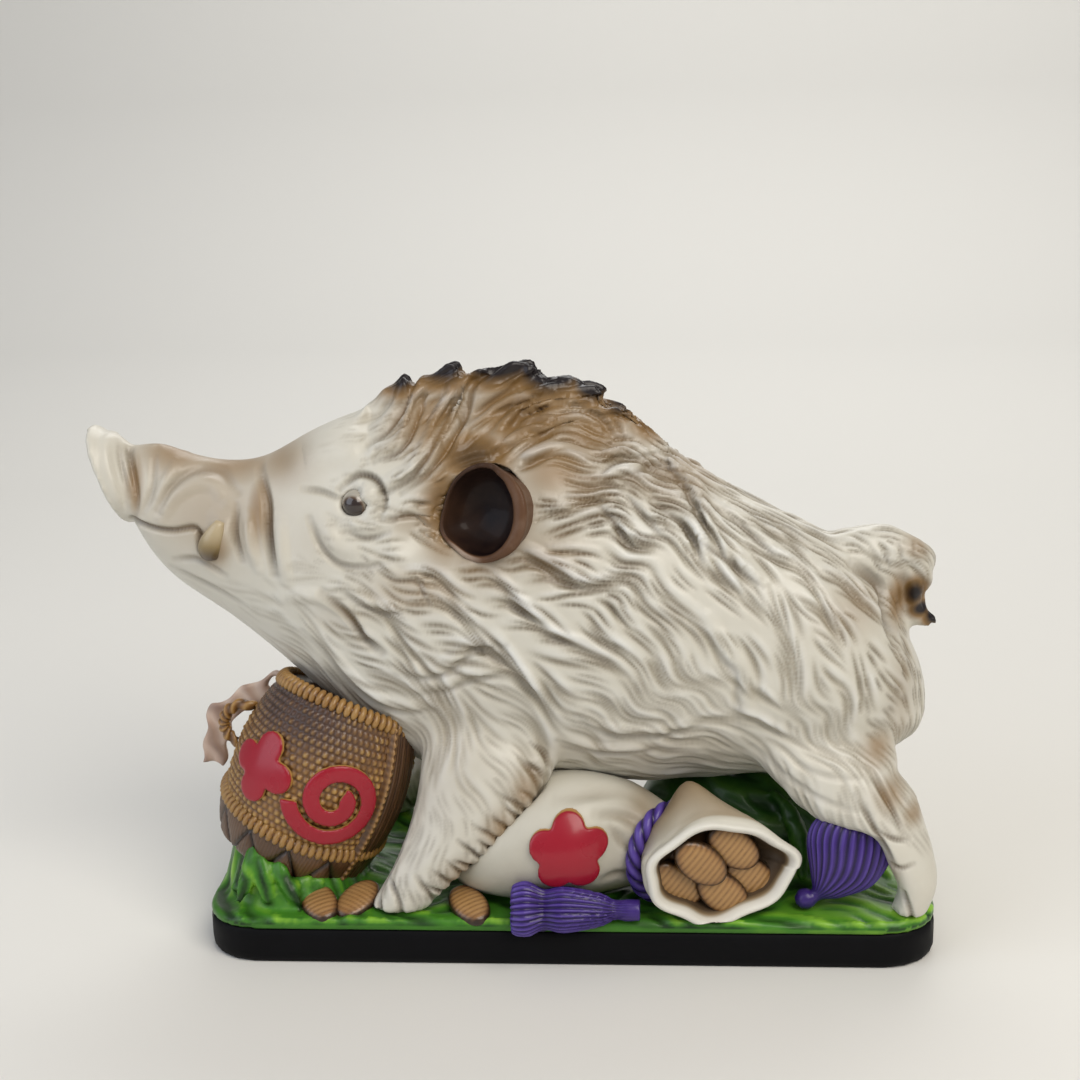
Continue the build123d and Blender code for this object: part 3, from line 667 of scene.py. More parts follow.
class Flow:
    """Lie of the hair over the side view, blended from listed combs."""

    REACH = 14.0
    WAVE_DEGREES = 24.0
    WAVE_LENGTH = 30.0
    SLIM = 0.6

    def __init__(self, combs: Sequence[Comb]) -> None:
        """Keeps the combs as rows.

        Args:
            combs: how the hair lies.
        """
        rows = [(c.x, c.height, c.heading, c.depth, c.width * self.SLIM, c.length, c.wash) for c in combs]
        self.rows = np.array(rows)

    def lie(self, points: np.ndarray) -> tuple[np.ndarray, np.ndarray]:
        """Blends the combs at points.

        Args:
            points: places in the part's frame.

        Returns:
            Headings as vectors, and rows of depth, width, length and wash.
        """
        place = np.stack([points[:, 0], points[:, 2] - GROUND_TOP], 1)
        away = ((place[:, None] - self.rows[None, :, :2]) ** 2).sum(2)
        weight = np.exp(-away / (2 * self.REACH**2)) + 1e-9 / (1 + away)
        weight /= weight.sum(1, keepdims=True)
        heading = np.radians(self.rows[:, 2])
        angle = np.arctan2(weight @ np.sin(heading), weight @ np.cos(heading))
        along = place[:, 0] * np.cos(angle) + place[:, 1] * np.sin(angle)
        aside = place[:, 1] * np.cos(angle) - place[:, 0] * np.sin(angle)
        wave = np.sin(2 * np.pi * (along / self.WAVE_LENGTH + aside / (3 * self.WAVE_LENGTH)))
        angle = angle + np.radians(self.WAVE_DEGREES) * wave
        ahead = np.stack([np.cos(angle), np.zeros(len(angle)), np.sin(angle)], 1)
        return ahead, weight @ self.rows[:, 3:]


class Carver:
    """Cuts tapered strokes that follow a flow over a casting: grooves with a swelling lock beside each."""

    STEP = 1.0
    CELL = 4.0
    LEAST_DEPTH = 0.08
    # Chance in a stroke's depth, width, length and wash, and what each next stroke of a tuft loses
    LEAST = (0.6, 0.75, 0.6, 0.8)
    MOST = (1.2, 1.2, 1.3, 1.1)
    LOSS = np.array((0.15, 0.1, 0.24, 0.0))
    # How far ahead the next stroke of a tuft starts, for each gap between them
    LAG = 0.8
    # A stroke's reach, the place and width of its lock in half widths, and the lock's share of the depth
    REACH = 4.0
    LOCK_PLACE = 2.1
    LOCK_WIDTH = 1.5
    LOCK_LIFT = 0.5
    # How alike two normals are on the same side of a fold, and how tightly the wash keeps to the groove
    SAME_SIDE = 0.2
    WASH_POWER = 1.4
    AROUND = np.array([(i, j, k) for i in (-1, 0, 1) for j in (-1, 0, 1) for k in (-1, 0, 1)])

    def __init__(self, clay: Clay) -> None:
        """Sorts the clay's points into cells.

        Args:
            clay: the casting.
        """
        self.clay = clay
        self.normals = clay.normals()
        faces = [tuple(p.vertices) for p in clay.mesh.polygons]
        self.surface = BVHTree.FromPolygons(clay.points.tolist(), faces)
        cells = np.floor(clay.points / self.CELL).astype(int)
        self.low = cells.min(0) - 1
        self.span = cells.max(0) - self.low + 3
        keys = self._key(cells)
        self.order = np.argsort(keys, kind="stable")
        self.sorted_keys = keys[self.order]

    def _key(self, cells: np.ndarray) -> np.ndarray:
        """One number for each cell."""
        shifted = np.clip(cells - self.low, 0, self.span - 1)
        return (shifted[..., 0] * self.span[1] + shifted[..., 1]) * self.span[2] + shifted[..., 2]

    def cut(self, flow: Flow, spacing: float, rng: np.random.Generator, tuft: int = 1,
            gap: float = 2.2) -> np.ndarray:
        """Cuts strokes all over.

        Args:
            flow: lie of the strokes.
            spacing: mean distance between tufts in millimetres.
            rng: the source of chance.
            tuft: how many strokes lie side by side in a tuft, each shorter than the last.
            gap: distance between the strokes of a tuft.

        Returns:
            How far each point is to be raised. The wash is painted at once.
        """
        clay = self.clay
        order = rng.permutation(len(clay.points))
        seat = np.floor(clay.points[order] / spacing).astype(int)
        _, first = np.unique(seat, axis=0, return_index=True)
        seeds = order[np.sort(first)]
        ahead, rows = flow.lie(clay.points[seeds])
        rows = rows * rng.uniform(self.LEAST, self.MOST, rows.shape)
        strong = rows[:, 0] > self.LEAST_DEPTH
        seeds, rows, ahead = seeds[strong], rows[strong], ahead[strong]
        hand = rng.choice((-1.0, 1.0), len(seeds))[:, None]
        place, up = clay.points[seeds], self.normals[seeds]
        raised, groove = np.zeros(len(clay.points)), np.zeros(len(clay.points))
        for i in range(tuft):
            aside = np.cross(up, ahead) * hand
            start, normal = self._land(place + i * (gap * aside + self.LAG * gap * ahead))
            part = rows * (1 - self.LOSS * i)
            lines, facing = self._trace(flow, start, normal, int(part[:, 2].max() / self.STEP))
            for line, above, (depth, width, length, wash) in zip(lines, facing, part):
                count = max(5, int(length / self.STEP))
                self._press(line[:count], above[:count], depth, width, wash, raised, groove)
        np.maximum(clay.paint[Paint.WASH], np.clip(groove, 0, 1), out=clay.paint[Paint.WASH])
        return raised

    def _land(self, places: np.ndarray) -> tuple[np.ndarray, np.ndarray]:
        """Brings places down to the surface.

        Args:
            places: places near it.

        Returns:
            The nearest places on it, and the normals there.
        """
        found = [self.surface.find_nearest(place) for place in places.tolist()]
        return np.array([hit[0] for hit in found]), np.array([hit[1] for hit in found])

    def _trace(self, flow: Flow, place: np.ndarray, up: np.ndarray,
               steps: int) -> tuple[np.ndarray, np.ndarray]:
        """Follows the flow over the surface from every start at once.

        Args:
            flow: lie of the strokes.
            place: where strokes begin.
            up: normals there.
            steps: how many steps the longest stroke takes.

        Returns:
            The strokes' points, and the normals at them.
        """
        lines, facing = [place], [up]
        for _ in range(steps):
            ahead, _ = flow.lie(place)
            ahead = ahead - up * (ahead * up).sum(1, keepdims=True)
            ahead /= np.maximum(np.linalg.norm(ahead, axis=1, keepdims=True), 0.25)
            place, up = self._land(place + ahead * self.STEP)
            lines.append(place)
            facing.append(up)
        return np.stack(lines, 1), np.stack(facing, 1)

    def _press(self, line: np.ndarray, facing: np.ndarray, depth: float, width: float, wash: float,
               raised: np.ndarray, groove: np.ndarray) -> None:
        """Adds one stroke's groove and lock.

        Args:
            line: the stroke's points.
            facing: normals at them.
            depth: of the groove at its deepest.
            width: half width of the groove.
            wash: how much paint stays in it.
            raised: lift of every point, added to here.
            groove: wash of every point, added to here.
        """
        cells = np.unique(np.floor(line / self.CELL).astype(int), axis=0)
        keys = np.unique(self._key((cells[:, None] + self.AROUND[None]).reshape(-1, 3)))
        begin = np.searchsorted(self.sorted_keys, keys, "left")
        end = np.searchsorted(self.sorted_keys, keys, "right")
        near = np.concatenate([self.order[a:b] for a, b in zip(begin, end)])
        gap = self.clay.points[near, None] - line[None]
        away = (gap**2).sum(2)
        nearest = away.argmin(1)
        close = away[np.arange(len(near)), nearest] < (self.REACH * width) ** 2
        near, nearest = near[close], nearest[close]
        gap = gap[close, nearest]
        ahead = np.gradient(line, axis=0)
        ahead /= np.linalg.norm(ahead, axis=1, keepdims=True) + 1e-9
        side = np.cross(facing, ahead)
        across = (gap * side[nearest]).sum(1)
        past = np.abs((gap * ahead[nearest]).sum(1))
        same = (self.normals[near] * facing[nearest]).sum(1) > self.SAME_SIDE
        share = np.clip(nearest / (len(line) - 1), 0.02, 0.98)
        ends = np.sin(np.pi * share**0.8) ** 0.9 * np.exp(-((past / width) ** 2)) * same
        dip = np.exp(-((across / width) ** 2)) * ends
        swell = bell(across, self.LOCK_PLACE * width, self.LOCK_WIDTH * width) * ends
        raised[near] += depth * (self.LOCK_LIFT * swell - dip)
        groove[near] = np.maximum(groove[near], wash * dip**self.WASH_POWER)


# Lie of the hair: x, height, heading, depth, half width, length and wash
COMBS = tuple(Comb(*row) for row in (
    (-130, 130, 0, 0.0, 1.2, 8, 0.0), (-105, 120, 0, 0.0, 1.2, 8, 0.0), (-90, 140, 0, 0.0, 1.2, 8, 0.0),
    (-80, 115, -10, 0.0, 1.2, 8, 0.0), (-66, 138, 0, 0.0, 1.2, 8, 0.0),
    (-72, 150, 20, 0.0, 1.2, 8, 0.0), (-112, 95, -25, 0.1, 1.4, 14, 0.1),
    (-96, 84, -32, 0.3, 1.6, 20, 0.3), (-73, 90, -30, 0.7, 1.7, 24, 0.6),
    (-58, 118, -34, 0.6, 1.3, 9, 0.7), (-50, 118, -14, 0.7, 1.4, 14, 0.9),
    (-41, 106, -18, 0.9, 1.7, 22, 0.9), (-51, 84, -25, 0.9, 1.9, 28, 0.7),
    (-29, 77, -35, 0.8, 1.8, 28, 0.5), (-19, 103, -15, 1.0, 1.8, 24, 1.0),
    (-54, 150, 62, 0.9, 1.6, 16, 0.9), (-38, 152, 55, 1.1, 1.7, 22, 0.9),
    (-29, 162, 50, 1.1, 1.8, 22, 0.8), (-17, 160, 22, 1.1, 1.8, 24, 0.9),
    (1, 157, 8, 1.1, 1.7, 22, 1.0), (19, 155, -15, 1.1, 1.7, 20, 1.0), (4, 137, 8, 1.1, 1.6, 18, 1.0),
    (13, 123, -12, 1.1, 1.7, 18, 1.0), (0, 117, 8, 1.0, 1.6, 18, 1.0), (0, 90, -25, 0.9, 1.8, 24, 0.7),
    (25, 142, -30, 1.0, 1.7, 20, 0.8), (43, 129, -42, 1.0, 1.7, 20, 0.8),
    (62, 126, -38, 0.9, 1.7, 22, 0.7), (80, 116, -42, 0.8, 1.6, 18, 0.7),
    (25, 103, -42, 0.9, 1.6, 18, 0.7), (43, 97, -55, 0.6, 1.6, 18, 0.45),
    (68, 97, -68, 0.7, 1.6, 18, 0.55), (93, 97, -52, 0.8, 1.6, 18, 0.7),
    (108, 88, -48, 0.8, 1.6, 14, 0.8), (109, 70, -60, 0.7, 1.5, 12, 0.8),
    (12, 77, -48, 0.7, 1.8, 24, 0.5), (37, 70, -45, 0.35, 1.8, 22, 0.2),
    (-1, 58, -42, 0.45, 1.8, 26, 0.25), (24, 50, -18, 0.5, 1.8, 26, 0.25),
    (50, 50, -2, 0.45, 1.7, 22, 0.25), (75, 70, -78, 0.35, 1.7, 20, 0.2),
    (93, 64, -62, 0.45, 1.6, 16, 0.45), (75, 43, -40, 0.4, 1.6, 20, 0.2),
    (100, 43, -60, 0.25, 1.5, 14, 0.3), (105, 18, -85, 0.0, 1.4, 8, 0.3),
    (-37, 50, -78, 0.0, 1.8, 14, 0.1), (-14, 43, -65, 0.3, 1.7, 14, 0.5),
    (-20, 65, -55, 0.25, 1.8, 18, 0.25), (-44, 24, -95, 0.0, 1.6, 14, 0.15),
    (-26, 22, -75, 0.35, 1.5, 10, 0.7), (-54, 9, -95, 0.3, 1.4, 8, 0.5),
    (-75, 158, 25, 0.0, 1.4, 8, 0.0), (-60, 62, -45, 0.35, 1.8, 20, 0.25),
    (100, 112, 20, 0.5, 1.3, 12, 0.6), (112, 102, -70, 0.5, 1.2, 10, 0.6),
))

# Wrinkles and folds of the snout, mouth, cheek and brow
FACE = tuple(Tool(*row) for row in (
    (((-145.5, 153), (-142, 143), (-139.5, 132.5), (-140.5, 125)), 1.9, -1.9, 0.7),
    (((-150.5, 152), (-149, 143), (-146, 133), (-144, 126)), 2.4, 1.3),
    (((-146.5, 149), (-144, 140), (-141.5, 131)), 1.5, -0.9, 0.4),
    (((-134, 146), (-134, 134.5), (-137.5, 126)), 2.0, -0.9, 0.3),
    (((-126, 143), (-130, 135.5), (-132, 129)), 2.8, 1.3),
    (((-142, 123.7), (-134, 121.5), (-127, 121), (-119.4, 122), (-117.7, 117)), 1.7, -1.8, 0.8, False),
    (((-131, 124.7), (-126.5, 131.5), (-120, 135.2), (-113.7, 135), (-109, 130.3)), 3.2, 1.8),
    (((-132, 127.3), (-127.8, 134.6), (-121, 139.2), (-112.5, 139), (-105, 133.4)), 2.2, -1.4, 0.45),
    (((-117.5, 120.3), (-117.2, 115), (-113.8, 111.9)), 2.4, -2.2, 1.0),
    (((-111.4, 125.6), (-110.3, 118.7), (-113.3, 113.4)), 4.6, 2.6),
    (((-105.4, 129.2), (-105.8, 120.8), (-103.6, 112.3)), 2.0, -1.8, 0.7),
    (((-101.4, 127), (-100.5, 118.7), (-98, 110.2)), 3.0, 2.0),
    (((-98.6, 140), (-95, 131.7), (-94.2, 121.3), (-92.3, 109)), 2.6, -2.4, 1.0),
    (((-90.2, 126), (-89.4, 115.2), (-88.4, 107)), 3.4, 1.6),
    (((-82.7, 135.7), (-75.7, 135.2), (-68.7, 132.5)), 1.6, -1.1, 0.5),
    (((-70, 136), (-68, 138), (-63.5, 140.6), (-58, 139), (-55.4, 133.5), (-57, 128)), 1.7, -2.2, 0.95),
    (((-63.4, 137.2), (-61, 135), (-60.6, 131)), 4.4, 2.9),
    (((-67.5, 127), (-61.6, 124.9), (-55, 126.4)), 1.9, 1.3),
    (((-68, 123.6), (-61.5, 121.6), (-54, 123.5)), 1.6, -1.2, 0.7),
    (((-80, 127), (-76.2, 118.6), (-70.4, 113.4), (-61.3, 112.8), (-54.2, 114.8)), 2.0, -1.4, 0.55),
    (((-76, 127), (-71, 119.5), (-62, 117.6)), 4.2, 1.5),
    (((-56, 127.3), (-50, 128), (-45, 127.6), (-38.5, 123.5)), 1.7, -1.5, 0.9),
    (((-84, 144), (-72, 148), (-60, 147)), 7.5, 2.2),
    (((-76, 104), (-68.2, 97.6), (-62.5, 89), (-57.6, 84.8)), 2.4, -2.2, 1.0),
    (((-90, 101.3), (-78.6, 102.6), (-69.5, 98.5), (-63, 91)), 3.6, 1.7),
    (((-127.6, 110.7), (-119, 111.4), (-110, 106.3)), 1.9, -1.2, 0.5),
    (((-130, 107.6), (-114.6, 101), (-104, 95.6)), 1.8, -1.0, 0.35),
))

# Shoves that bring the skin to the outline: tail, hind leg, snout and mane
SHOVES = tuple(Push(*row) for row in (
    (113, 108, 9, 11, 4.6, 2.6), (105, 116, 8, 6, 0.0, 2.4), (118, 106, 5, 7, 2.2, 0.0),
    (119, 86, 5, 5, 2.0, -3.0), (112, 82, 5, 5, 0.8, -3.0), (102, 51, 8, 7, -6.0, 0.0),
    (109, 62, 7, 6, -3.0, 0.0), (110, 42, 6, 5, -4.0, 0.0), (90.5, 17, 11, 11, 6.5, 6.0),
    (98.5, 8.5, 8, 7, 4.0, -1.0), (119, 1, 6, 6, -2.0, 0.0), (-153, 146, 7, 9, -1.6, 1.2),
    (-153, 151, 5, 5, 0.0, 2.0), (-150.5, 150, 3, 5, 0.0, 1.8), (-147.5, 149, 3.2, 5, 0.0, 3.2),
    (-138, 147, 12, 8, 0.0, 6.5), (-60, 163, 4.5, 5, 0.0, -3.4), (-55, 167, 3, 4, 0.0, -1.6),
    (-50.8, 167, 2, 4, 0.0, 2.4), (-48, 164, 1.6, 3, 0.0, -2.4), (-42, 171, 3.5, 4, 0.0, -2.4),
    (-34.5, 171, 2.2, 4, 0.0, 1.2), (-22, 172, 4, 4, 0.0, -1.6), (-5.5, 169, 1.6, 3, 0.0, -1.6),
))

# Joints of legs and belly that are ironed out
LEDGES = (Spray(84, 56, 30, 7, 1.0), Spray(50, 57, 24, 9, 1.0), Spray(-14, 59, 26, 7, 1.0))


def lock(line: SideLine, width: float, lift: float, wash: float) -> tuple[Tool, Tool]:
    """A raised lock of hair with a cut along its lower edge.

    Args:
        line: the lock in the side view, from its root to its tip.
        width: half width of the lock.
        lift: how far it stands out.
        wash: how much paint stays in the cut.

    Returns:
        The lock and the cut.
    """
    points = np.array(line, float)
    ahead = np.gradient(points, axis=0)
    ahead /= np.linalg.norm(ahead, axis=1, keepdims=True)
    edge = points + width * np.stack([ahead[:, 1], -ahead[:, 0]], 1)
    return Tool(line, width, lift), Tool(tuple(map(tuple, edge.tolist())), 0.6 * width, -0.7 * lift, wash)


# Locks that sweep up into the mane: line, half width, lift and wash
MANE_LOCKS = tuple(tool for row in (
    (((-63, 151), (-57, 155), (-52, 162), (-50, 169)), 2.6, 1.7, 0.9),
    (((-60, 147), (-52, 150), (-48, 158), (-47, 166)), 2.6, 1.9, 1.0),
    (((-58, 137), (-47.5, 143), (-39, 156), (-33, 172)), 2.8, 1.9, 1.0),
    (((-52, 138), (-42, 145), (-33.5, 158), (-31, 171)), 3.0, 2.4, 1.0),
    (((-31, 158), (-22.5, 164), (-13, 169), (-6.5, 171)), 3.0, 1.8, 1.0),
    (((-27, 153), (-17, 161), (-6, 165), (2, 166)), 2.6, 1.6, 1.0),
    (((-23, 147), (-17, 155.5), (-6, 161), (7, 162), (12, 163)), 2.6, 1.6, 1.0),
    (((-17, 147), (-8.5, 152.5), (2, 154.5), (12, 150.5)), 2.6, 1.6, 1.0),
    (((-10, 155), (2, 159), (12, 157.5), (19, 150)), 2.4, 1.5, 1.0),
    (((-1, 161), (12, 161.5), (23, 157.5), (28, 152)), 2.4, 1.5, 1.0),
    (((10, 157), (17.5, 156), (21.5, 149)), 2.0, 1.2, 1.0),
) for tool in lock(*row))

# Long locks over flank, belly and throat
LONG_LOCKS = tuple(tool for row in (
    (((10, 141), (17.5, 145), (30.5, 145)), 2.6, 1.3, 0.8),
    (((16, 140.5), (30.5, 143), (40.5, 137.5), (46, 127), (53, 117)), 3.0, 1.6, 0.8),
    (((13, 134), (19, 127.5), (24, 119)), 2.6, 1.3, 0.9),
    (((30.5, 133), (41.5, 124.5), (46, 114)), 2.6, 1.3, 0.8),
    (((21, 136.5), (28.5, 128), (34, 122)), 2.4, 1.2, 0.8),
    (((53, 128.5), (60.5, 122), (71, 113)), 2.4, 1.2, 0.8),
    (((45, 121), (58, 111.5), (64.5, 106.5)), 2.4, 1.2, 0.8),
    (((46, 96.5), (52.5, 86), (58, 78), (57.5, 62)), 3.4, 1.2, 0.3),
    (((4.5, 67), (14.5, 60), (30, 59), (43, 63)), 2.8, 1.2, 0.4),
    (((-1.5, 57), (11, 52), (30, 53)), 2.6, 1.2, 0.4),
    (((-82, 92), (-75, 85), (-66, 73), (-54, 67), (-42, 68)), 3.2, 1.2, 0.4),
    (((-53, 81), (-46, 80), (-38, 82), (-29, 89), (-18, 92)), 3.2, 1.2, 0.5),
    (((-48, 74), (-40, 75), (-29, 80), (-17, 81), (-8, 76)), 3.2, 1.2, 0.4),
    (((-69, 107), (-58, 101), (-48, 101)), 2.4, 1.0, 0.7),
    (((-58, 115), (-52, 111), (-44, 110), (-40, 102)), 2.2, 1.0, 0.8),
) for tool in lock(*row))

# Black and brown spray on mane, ear and tail: x, height, reaches and strength
SMOKE = tuple(Spray(*row) for row in (
    (-53, 173, 10, 10, 1.3), (-39, 177, 12, 12, 1.3), (-21, 177, 16, 12, 1.3), (-3, 174, 14, 12, 1.3),
    (11, 169, 9, 10, 1.3), (20, 161, 9, 8, 1.0), (30, 153, 10, 7, 0.7), (-42, 156, 15, 11, 0.42),
    (-12, 157, 24, 13, 0.5), (10, 152, 18, 11, 0.42), (-25, 130, 17, 20, 0.56), (-27, 146, 15, 9, 0.66),
    (-36, 130, 9, 17, 0.6), (-47, 126, 8, 6, 0.24), (-2, 142, 14, 10, 0.42), (113.5, 96, 4.5, 6, 0.9),
    (116, 90, 4.5, 3.5, 0.95), (120.5, 87, 4.5, 4.5, 1.0), (108, 95, 4.5, 9, 0.5),
    (114, 112, 6, 5, 0.3),
))

# Thin brown spray on face, legs and flank
TAN = tuple(Spray(*row) for row in (
    (-125, 147, 18, 11, 0.44), (-108, 144, 18, 11, 0.44), (-92, 144, 14, 11, 0.34),
    (-114, 128, 28, 20, 0.27), (-38, 52, 22, 30, 0.13), (20, 50, 50, 9, 0.15), (-98, 128, 5, 13, 0.42),
    (-113, 117, 7, 9, 0.44), (-140, 136, 3.5, 12, 0.42), (-12, 40, 6, 9, 0.34), (-20, 27, 7, 9, 0.36),
    (-32, 12, 8, 8, 0.34), (-45, 106, 20, 9, 0.24), (-5, 118, 18, 12, 0.24), (6, 138, 14, 12, 0.28),
    (-80, 120, 14, 14, 0.12), (100, 51, 6, 6, 0.36), (103.5, 39, 6, 6, 0.34), (111, 32.5, 5, 4, 0.34),
    (103, 13, 3.5, 7, 0.34), (108, 66, 6, 24, 0.2), (40, 138, 30, 10, 0.24), (92, 96, 12, 10, 0.22),
    (-70, 96, 12, 8, 0.14),
))


def fringe(line: SideLine, spacing: float, tilt: float, length: float) -> tuple[Tool, ...]:
    """Short comb-like cuts along the edge of a limb.

    Args:
        line: the edge in the side view.
        spacing: distance between cuts in millimetres.
        tilt: heading of the cuts in degrees.
        length: length of a cut.

    Returns:
        The cuts.
    """
    tools = []
    for i, (x, h) in enumerate(curved(line)[::max(1, int(spacing))]):
        turn, reach = math.radians(tilt + 10 * math.sin(2.1 * i)), length * (1 + 0.3 * math.sin(3.7 * i))
        dx, dh = reach * math.cos(turn), reach * math.sin(turn)
        path = ((x - dx, h - dh), (x - 0.3 * dx + 0.8, h - 0.45 * dh), (x + 0.3 * dx, h + 0.3 * dh))
        tools.append(Tool(path, 1.4, -1.2, 0.9))
    return tuple(tools)


# Fringe, toes and folds of the legs
LEGS = (
    *fringe(((-6, 47), (-14, 31), (-31, 13), (-43, 3)), 4.0, -58, 9.0),
    Tool(((-8, 47), (-17, 31), (-33, 13), (-44, 3)), 4.5, 1.4),
    Tool(((-63, 10), (-61, 5), (-60, 0)), 1.6, -1.4, 0.8, False),
    Tool(((-56, 10), (-53.5, 5), (-53, 0)), 1.6, -1.2, 0.7, False),
    Tool(((-48, 34), (-54, 20), (-57, 9)), 5.0, 0.9),
    Tool(((60, 52), (72, 43), (84, 37), (97, 34)), 2.0, -0.9, 0.2),
    Tool(((68, 52), (80, 46), (94, 44)), 1.8, -0.8, 0.2),
    Tool(((92, 40), (99, 28), (104, 18)), 1.8, -1.0, 0.9),
    Tool(((97, 46), (103, 36), (107, 28)), 1.6, -0.9, 0.9),
    Tool(((98, 30), (104, 27), (109, 26)), 1.4, -0.8, 0.8),
    Tool(((99, 20), (105, 18), (110, 19)), 1.4, -0.8, 0.8),
    Tool(((100, 9), (104, 4), (105, 0)), 1.5, -1.2, 0.8, False),
    Tool(((107, 9), (109, 4), (110, 0)), 1.5, -1.0, 0.7, False),
)

# Groove and hairs of the curled tail
TAIL = tuple(Tool(*row) for row in (
    (((92, 107.5), (98, 103.5), (102, 99), (103, 92.6), (105.5, 84)), 2.4, -2.8, 0.8),
    (((107.5, 104), (110, 98), (110.5, 91), (109, 85)), 3.4, -2.4, 0.2),
    (((108, 112), (114.5, 108), (116.5, 101), (115, 94)), 3.2, 1.5),
    (((102, 104), (99, 109)), 1.1, -0.8, 0.7),
    (((105, 105), (102, 112)), 1.1, -0.8, 0.7),
    (((108.5, 107), (107.5, 114)), 1.1, -0.7, 0.6),
    (((112, 107), (113, 114)), 1.1, -0.6, 0.5),
))


@dataclass(frozen=True)
class Cut:
    """A flat cut between two parts of the hide: a point of it, and the side that is kept."""

    point: tuple[float, float, float]
    keep: tuple[float, float, float]


@dataclass
class Hide:
    """The boar's cast hide, modelled as one skin and parted where the castings meet."""

    nodes: tuple[str, ...] = (
        "torso_shell", "head_shell", "front_left_leg", "front_right_leg", "hind_left_leg", "hind_right_leg",
        "snout_disc", "mane_crest", "tail",
    )
    voxel: float = 1.3
    blend: int = 9
    tuft: int = 2
    relief_light_and_shade: float = 0.35
    crest: tuple[tuple[float, float], ...] = (
        (-64, 157), (-50, 171), (-32, 174), (-8, 174), (10, 167), (22, 157), (34, 146),
    )
    crest_depth: float = 15.0
    crest_thin: float = 0.66
    crest_hold: float = 0.8
    ironing: int = 60
    spacing: float = 6.7
    deepest: float = 1.7
    highest: float = 1.1
    neck: tuple[float, float] = (-26.0, 106.0)
    neck_tilt: float = 48.0
    knee: float = 26.0
    waist: float = 26.0

    # A height that nothing reaches, in front of the crest and behind it
    NO_CREST = 400.0

    def build(self) -> None:
        """Models the hide from the frame, paints it and parts it into head, flanks and lower legs."""
        rng = np.random.default_rng(SEED)
        clay = Clay.from_nodes(self.nodes, self.voxel, 2)
        top = np.interp(clay.points[:, 0], *np.array(self.crest).T, left=self.NO_CREST, right=self.NO_CREST)
        share = smoothstep(-self.crest_depth, 0, clay.height - top)
        clay.points[:, 1] *= 1 - self.crest_thin * share
        clay.smooth(self.blend, 1 - self.crest_hold * share)
        clay.spray(LEDGES)
        clay.smooth(self.ironing, clay.paint[Paint.SMOKE])
        clay.push(SHOVES)
        clay = clay.refined(1)
        for side in Side:
            Ear(side).sink(clay)
        normals = clay.normals()
        for tool in FACE + MANE_LOCKS + LONG_LOCKS + LEGS + TAIL:
            clay.stroke(tool, normals)
        raised = Carver(clay).cut(Flow(COMBS), self.spacing, rng, self.tuft)
        clay.raise_by(np.clip(raised, -self.deepest, self.highest))
        # Painted highlight on the raised hair and painted shade in its grooves
        clay.paint[Paint.TONE] += self.relief_light_and_shade * np.clip(raised, -0.6, 1.0)
        clay.spray(SMOKE + TAN)
        self.part(clay)

    def part(self, clay: Clay) -> None:
        """Cuts the skin along its middle and at neck, waist and knees, and names the pieces.

        Args:
            clay: the finished skin.
        """
        whole = clay.to_object("hide", PEARL)
        tilt = math.radians(self.neck_tilt)
        front = (-math.sin(tilt), 0.0, math.cos(tilt))
        middle = (self.neck[0], 0.0, self.neck[1] + GROUND_TOP)
        low = (0.0, 0.0, self.knee + GROUND_TOP)
        back = tuple(-c for c in front)
        above, below = Cut(low, (0, 0, 1)), Cut(low, (0, 0, -1))
        pieces = {}
        for side in Side:
            name, half = side.name.lower(), Cut((0, 0, 0), (0, side.value, 0))
            head = ("head_shell", "mane_crest", "snout_disc")
            pieces[f"boar_{name}_head"] = ((half, Cut(middle, front), above), head)
            for end, way, nodes in (("front", -1, ("torso_shell",)), ("hind", 1, ("torso_shell", "tail"))):
                waist = Cut((self.waist, 0, 0), (way, 0, 0))
                pieces[f"boar_{name}_{end}_flank"] = ((half, Cut(middle, back), above, waist), nodes)
                node = f"{end}_{name}_leg"
                pieces[f"boar_{node}"] = ((half, below, waist), (node,))
        for name, (cuts, nodes) in pieces.items():
            place_piece(parted(whole, name, cuts), "coat_pearl", *nodes)
        bpy.data.objects.remove(whole)


def parted(whole: bpy.types.Object, name: str, cuts: Iterable[Cut]) -> bpy.types.Object:
    """Cuts a copy of a piece with flat cuts and caps it, the caps kept out of the skin's shading.

    Args:
        whole: the piece.
        name: the new piece's name.
        cuts: the cuts.

    Returns:
        What is left, as a closed piece.
    """
    build = bmesh.new()
    build.from_mesh(whole.data)
    for cut in cuts:
        everything = build.verts[:] + build.edges[:] + build.faces[:]
        way = Vector(cut.keep)
        found = bmesh.ops.bisect_plane(build, geom=everything, dist=1e-7, plane_co=Vector(cut.point) * MM,
                                       plane_no=way, clear_inner=True)
        rim = [e for e in found["geom_cut"] if isinstance(e, bmesh.types.BMEdge) and e.is_boundary]
        if rim:
            for edge in rim:
                edge.smooth = False
            bmesh.ops.edgeloop_fill(build, edges=rim)
    bmesh.ops.triangulate(build, faces=[f for f in build.faces if len(f.verts) > 4])
    mesh = baked(build, name)
    for material in whole.data.materials:
        mesh.materials.append(material)
    return linked(name, mesh)


